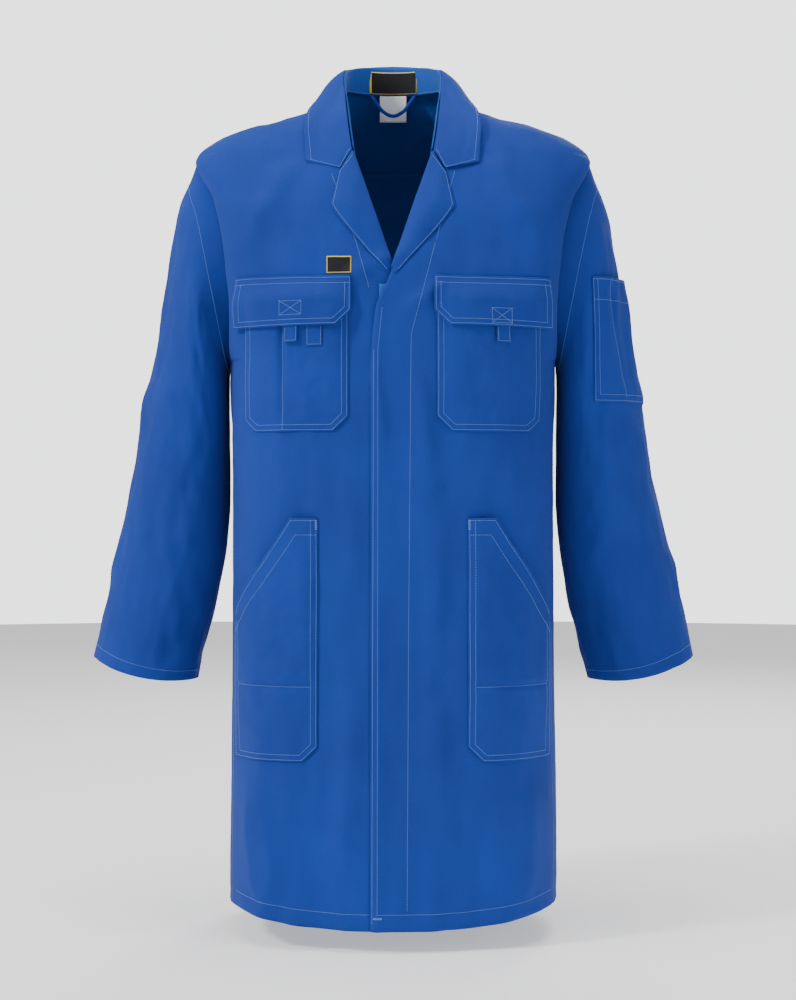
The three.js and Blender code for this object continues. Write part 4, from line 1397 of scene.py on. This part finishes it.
def make_pen_pocket():
    twill_cloth = coat_material("twill")
    pocket = cloth("sleeve_pocket_cloth", 64, 60, pen_point, twill_cloth, POCKET_THICK, inside=sleeve_axis(1))
    dress(pocket, "cloth", None, ["sleeve_pocket"])
    lift_with_sleeve(pocket, 1)
    lines = [dense([(i, 0.02), (i, 1 - i), (1 - i, 1 - i), (1 - i, 0.02)]) for i in (0.015, 0.06)]
    lines += [dense([(0.01, v), (0.99, v)]) for v in (0.02, 0.185)]
    lines.append([(pen_divide(v / 60), v / 60) for v in range(2, 59)])
    thread = sew("sleeve_pocket_stitching", [[pen_point(u, v, THREAD_LIFT) for u, v in line] for line in lines], None)
    lift_with_sleeve(thread, 1)
    hung(pocket, ["sleeve_left_cloth"], [thread])


# ------------------------------------------------------------------ neck trim
def neck_wall(x, depth):
    """How far back the inside of the stand is, with a depth of cloth before it."""
    return NECK_DEPTH - 7.1 - 0.0068 * x * x - depth


def make_label(name, size, top, depth, slot, bow):
    """A blank label on the inside of the stand, bowed a little inwards."""
    width, height = size

    def place(u, v):
        x, z = lerp(width / 2, -width / 2, u), lerp(top - height, top, v)
        return Vector((x, neck_wall(x, depth) - bow * math.sin(math.pi * v), z))

    label = cloth(f"{name}_satin", 24, 14, place, coat_material(name), 0.5, inside=lambda c: Vector((0, 0.3, c.z)))
    dress(label, slot, "coat", [name])
    hung(label, ["collar_stand_cloth"])


LOOP = ((28, 6.4, -2), (22.4, 8, -9.8), (12.6, 9, -22.4), (0, 9.4, -28))  # x, depth of cloth behind, z


def make_hanger_loop():
    """A sewn cord from one side of the neck to the other, flattened front to back."""
    half = [(x, neck_wall(0, depth), z) for x, depth, z in LOOP]
    path = spline([(-x, y, z) for x, y, z in half] + half[-2::-1])
    back = Vector((0, 1, 0))

    def loop_point(u, v):
        along = (path(min(1, v + 0.01)) - path(max(0, v - 0.01))).normalized()
        angle = 2 * math.pi * u
        return path(v) + along.cross(back).normalized() * 2.3 * math.cos(angle) + back * 1.1 * math.sin(angle)

    centre = lambda c: path(clamp((c.x / MM + LOOP[0][0]) / (2 * LOOP[0][0]))) * MM
    loop = cloth("hanger_loop_cloth", 16, 60, loop_point, coat_material("twill"), 0.4, inside=centre, closed=True)
    dress(loop, "cloth", "loop", ["hanger_loop"])


# ------------------------------------------------------------------ stage
CAMERA = {"place": (0.00625, -2.4, -0.5193), "lens": 69.12, "sensor": 36}
FLOOR = {"radius": 6, "below": 0.03, "grey": 0.8, "glow": 0.5}
BACKDROP = {"tint": (0.97, 0.98, 1, 1), "lighting": 0.36, "seen": 2.6}


def lamp(name, place, aim, size, power):
    data = bpy.data.lights.new(name, "AREA")
    data.shape = "DISK"
    data.size = size
    data.energy = power
    obj = bpy.data.objects.new(name, data)
    obj.location = place
    obj.rotation_euler = (Vector(aim) - Vector(place)).to_track_quat("-Z", "Y").to_euler()
    bpy.context.scene.collection.objects.link(obj)


def make_stage():
    """The camera, a pale floor, soft lamps, and a backdrop that is brighter to look at than the light it gives."""
    scene = bpy.context.scene
    data = bpy.data.cameras.new("Front camera")
    data.lens, data.sensor_width = CAMERA["lens"], CAMERA["sensor"]
    camera = bpy.data.objects.new("Front camera", data)
    camera.location = CAMERA["place"]
    camera.rotation_euler = (math.pi / 2, 0, 0)
    scene.collection.objects.link(camera)
    scene.camera = camera
    bm = bmesh.new()
    bmesh.ops.create_circle(bm, cap_ends=True, segments=96, radius=FLOOR["radius"])
    bmesh.ops.translate(bm, verts=bm.verts, vec=(0, 0, CAD_BOX[0][2] - FLOOR["below"]))
    floor = finish_mesh(bm, "floor")
    material, shader = new_material("stage_floor", 0.9)
    shader.inputs["Base Color"].default_value = (FLOOR["grey"], FLOOR["grey"], FLOOR["grey"], 1)
    shader.inputs["Emission Color"].default_value = (1, 1, 1, 1)
    shader.inputs["Emission Strength"].default_value = FLOOR["glow"]
    floor.data.materials.append(material)
    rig.stage(floor)
    world = bpy.data.worlds.new("Studio")
    scene.world = world
    world.use_nodes = True
    sky = world.node_tree.nodes["Background"]
    seen = add_node(world, "LightPath").outputs["Is Camera Ray"]
    level = add_node(world, "MapRange", {"Value": seen, "To Min": BACKDROP["lighting"], "To Max": BACKDROP["seen"]})
    feed(world, sky, "Color", BACKDROP["tint"])
    feed(world, sky, "Strength", level.outputs["Result"])
    lamp("Key", (-2.7, -1.5, 1.5), (0, 0, -0.5), 0.7, 100)
    lamp("Fill", (2.6, -1.9, 0.4), (0, 0, -0.5), 1.2, 18)
    lamp("Back", (0.9, 2.6, 1.3), (0, 0, -0.4), 1.4, 60)
    lamp("Top", (0, -0.4, 2.4), (0, 0, -1), 2.4, 70)


# ------------------------------------------------------------------ add-on
def sizes():
    return bpy.context.scene.coat_sizes


def length_property(name, description, value):
    return FloatProperty(name=name, description=description, default=value, min=value / 3, unit="LENGTH")


class CoatSizes(bpy.types.PropertyGroup):
    """The sizes that a user would change."""

    stitch_pitch: length_property("Stitch pitch", "Distance from one stitch to the next", 0.0032)
    thread_width: length_property("Thread width", "Thickness of the sewing thread", 0.0006)
    cloth_thickness: length_property("Cloth thickness", "Thickness of the twill", 0.0011)


def colour_property(name, description, value):
    return FloatVectorProperty(name=name, description=description, default=value, subtype="COLOR", min=0, max=1)


class CoatColours(bpy.types.PropertyGroup):
    """The colours of the coat's finishes."""

    cloth: colour_property("Cloth", "Dye of the outer cloth", (0.0112, 0.043, 0.28))
    # The inside's own blue, made lighter than the outer dye: painted light that brightens the inside where it lies in
    # shade.
    cloth_inside: colour_property("Cloth inside", "Inner face of the cloth", (0.014, 0.085, 0.39))
    thread: colour_property("Thread", "Topstitching thread", (0.13, 0.27, 0.68))
    tape: colour_property("Fastener tape", "Hook and loop patches", (0.008, 0.035, 0.15))
    label: colour_property("Label", "Field of the blank woven labels", (0.006, 0.006, 0.007))
    label_border: colour_property("Label border", "Woven border of the labels", (0.75, 0.55, 0.03))
    care_label: colour_property("Care label", "Satin of the blank care label", (0.72, 0.73, 0.76))
    steel: colour_property("Steel", "Press studs", (0.5, 0.5, 0.52))


class COAT_OT_stage(bpy.types.Operator):
    """Sets the camera, the pale floor and the soft lights."""

    bl_idname = "coat.stage"
    bl_label = "Stage"

    def execute(self, context):
        make_stage()
        return {"FINISHED"}


class COAT_OT_shell(bpy.types.Operator):
    """Makes the back, the yoke, both fronts and the hidden strip."""

    bl_idname = "coat.shell"
    bl_label = "Body panels"

    def execute(self, context):
        make_back()
        make_yoke()
        make_front(1)
        make_front(-1)
        make_fly()
        return {"FINISHED"}


class COAT_OT_studs(bpy.types.Operator):
    """Makes the press studs and their sockets."""

    bl_idname = "coat.studs"
    bl_label = "Press studs"

    def execute(self, context):
        for number in range(STUD_COUNT):
            make_stud(number, False)
            make_stud(number, True)
        return {"FINISHED"}


class COAT_OT_collar(bpy.types.Operator):
    """Makes the collar, its stand and the two revers."""

    bl_idname = "coat.collar"
    bl_label = "Collar and revers"

    def execute(self, context):
        make_collar()
        make_lapel(1)
        make_lapel(-1)
        return {"FINISHED"}


class COAT_OT_chest_pockets(bpy.types.Operator):
    """Makes the chest pockets with their flaps, patches, tabs and label."""

    bl_idname = "coat.chest_pockets"
    bl_label = "Chest pockets"

    def execute(self, context):
        for side in (1, -1):
            make_chest_pocket(side)
            make_flap(side)
        make_chest_trim()
        return {"FINISHED"}


class COAT_OT_hip_pockets(bpy.types.Operator):
    """Makes the two hip pockets."""

    bl_idname = "coat.hip_pockets"
    bl_label = "Hip pockets"

    def execute(self, context):
        make_hip_pocket(1)
        make_hip_pocket(-1)
        return {"FINISHED"}


class COAT_OT_sleeves(bpy.types.Operator):
    """Makes the sleeves and the pen pocket on the left one."""

    bl_idname = "coat.sleeves"
    bl_label = "Sleeves"

    def execute(self, context):
        make_sleeve(1)
        make_sleeve(-1)
        make_pen_pocket()
        return {"FINISHED"}


class COAT_OT_neck_trim(bpy.types.Operator):
    """Makes the blank neck label, the care label and the hanger loop."""

    bl_idname = "coat.neck_trim"
    bl_label = "Neck trim"

    def execute(self, context):
        make_label("neck_label", NECK_LABEL, 29.0, 2.8, "label_black", 0.6)
        make_label("care_label", CARE_LABEL, -1.0, 1.6, "label_pale", 0.4)
        make_hanger_loop()
        return {"FINISHED"}


class COAT_PT_panel(bpy.types.Panel):
    """Lists the steps and the sizes of the coat."""

    bl_idname = "COAT_PT_panel"
    bl_label = "Work Coat"
    bl_space_type = "VIEW_3D"
    bl_region_type = "UI"
    bl_category = "Coat"

    def draw(self, context):
        layout = self.layout
        for group in (context.scene.coat_sizes, context.scene.coat_colours):
            column = layout.column(align=True)
            for prop in type(group).bl_rna.properties:
                if prop.identifier not in {"rna_type", "name"}:
                    column.prop(group, prop.identifier)
        for step in STEPS:
            layout.operator(step.bl_idname)


STEPS = (
    COAT_OT_stage,
    COAT_OT_shell,
    COAT_OT_studs,
    COAT_OT_collar,
    COAT_OT_chest_pockets,
    COAT_OT_hip_pockets,
    COAT_OT_sleeves,
    COAT_OT_neck_trim,
)
CLASSES = (CoatSizes, CoatColours, *STEPS, COAT_PT_panel)


def register():
    for cls in CLASSES:
        bpy.utils.register_class(cls)
    bpy.types.Scene.coat_sizes = PointerProperty(type=CoatSizes)
    bpy.types.Scene.coat_colours = PointerProperty(type=CoatColours)


def unregister():
    del bpy.types.Scene.coat_colours
    del bpy.types.Scene.coat_sizes
    for cls in reversed(CLASSES):
        bpy.utils.unregister_class(cls)


def main():
    register()
    bpy.ops.coat.stage()
    bpy.ops.coat.shell()
    bpy.ops.coat.studs()
    bpy.ops.coat.collar()
    bpy.ops.coat.chest_pockets()
    bpy.ops.coat.hip_pockets()
    bpy.ops.coat.sleeves()
    bpy.ops.coat.neck_trim()
    boxes = {"cad": [list(c) for c in CAD_BOX], "visual": [list(c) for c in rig.bounds()]}
    with open("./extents.json", "w") as out:
        json.dump(boxes, out)


if __name__ == "__main__":
    main()
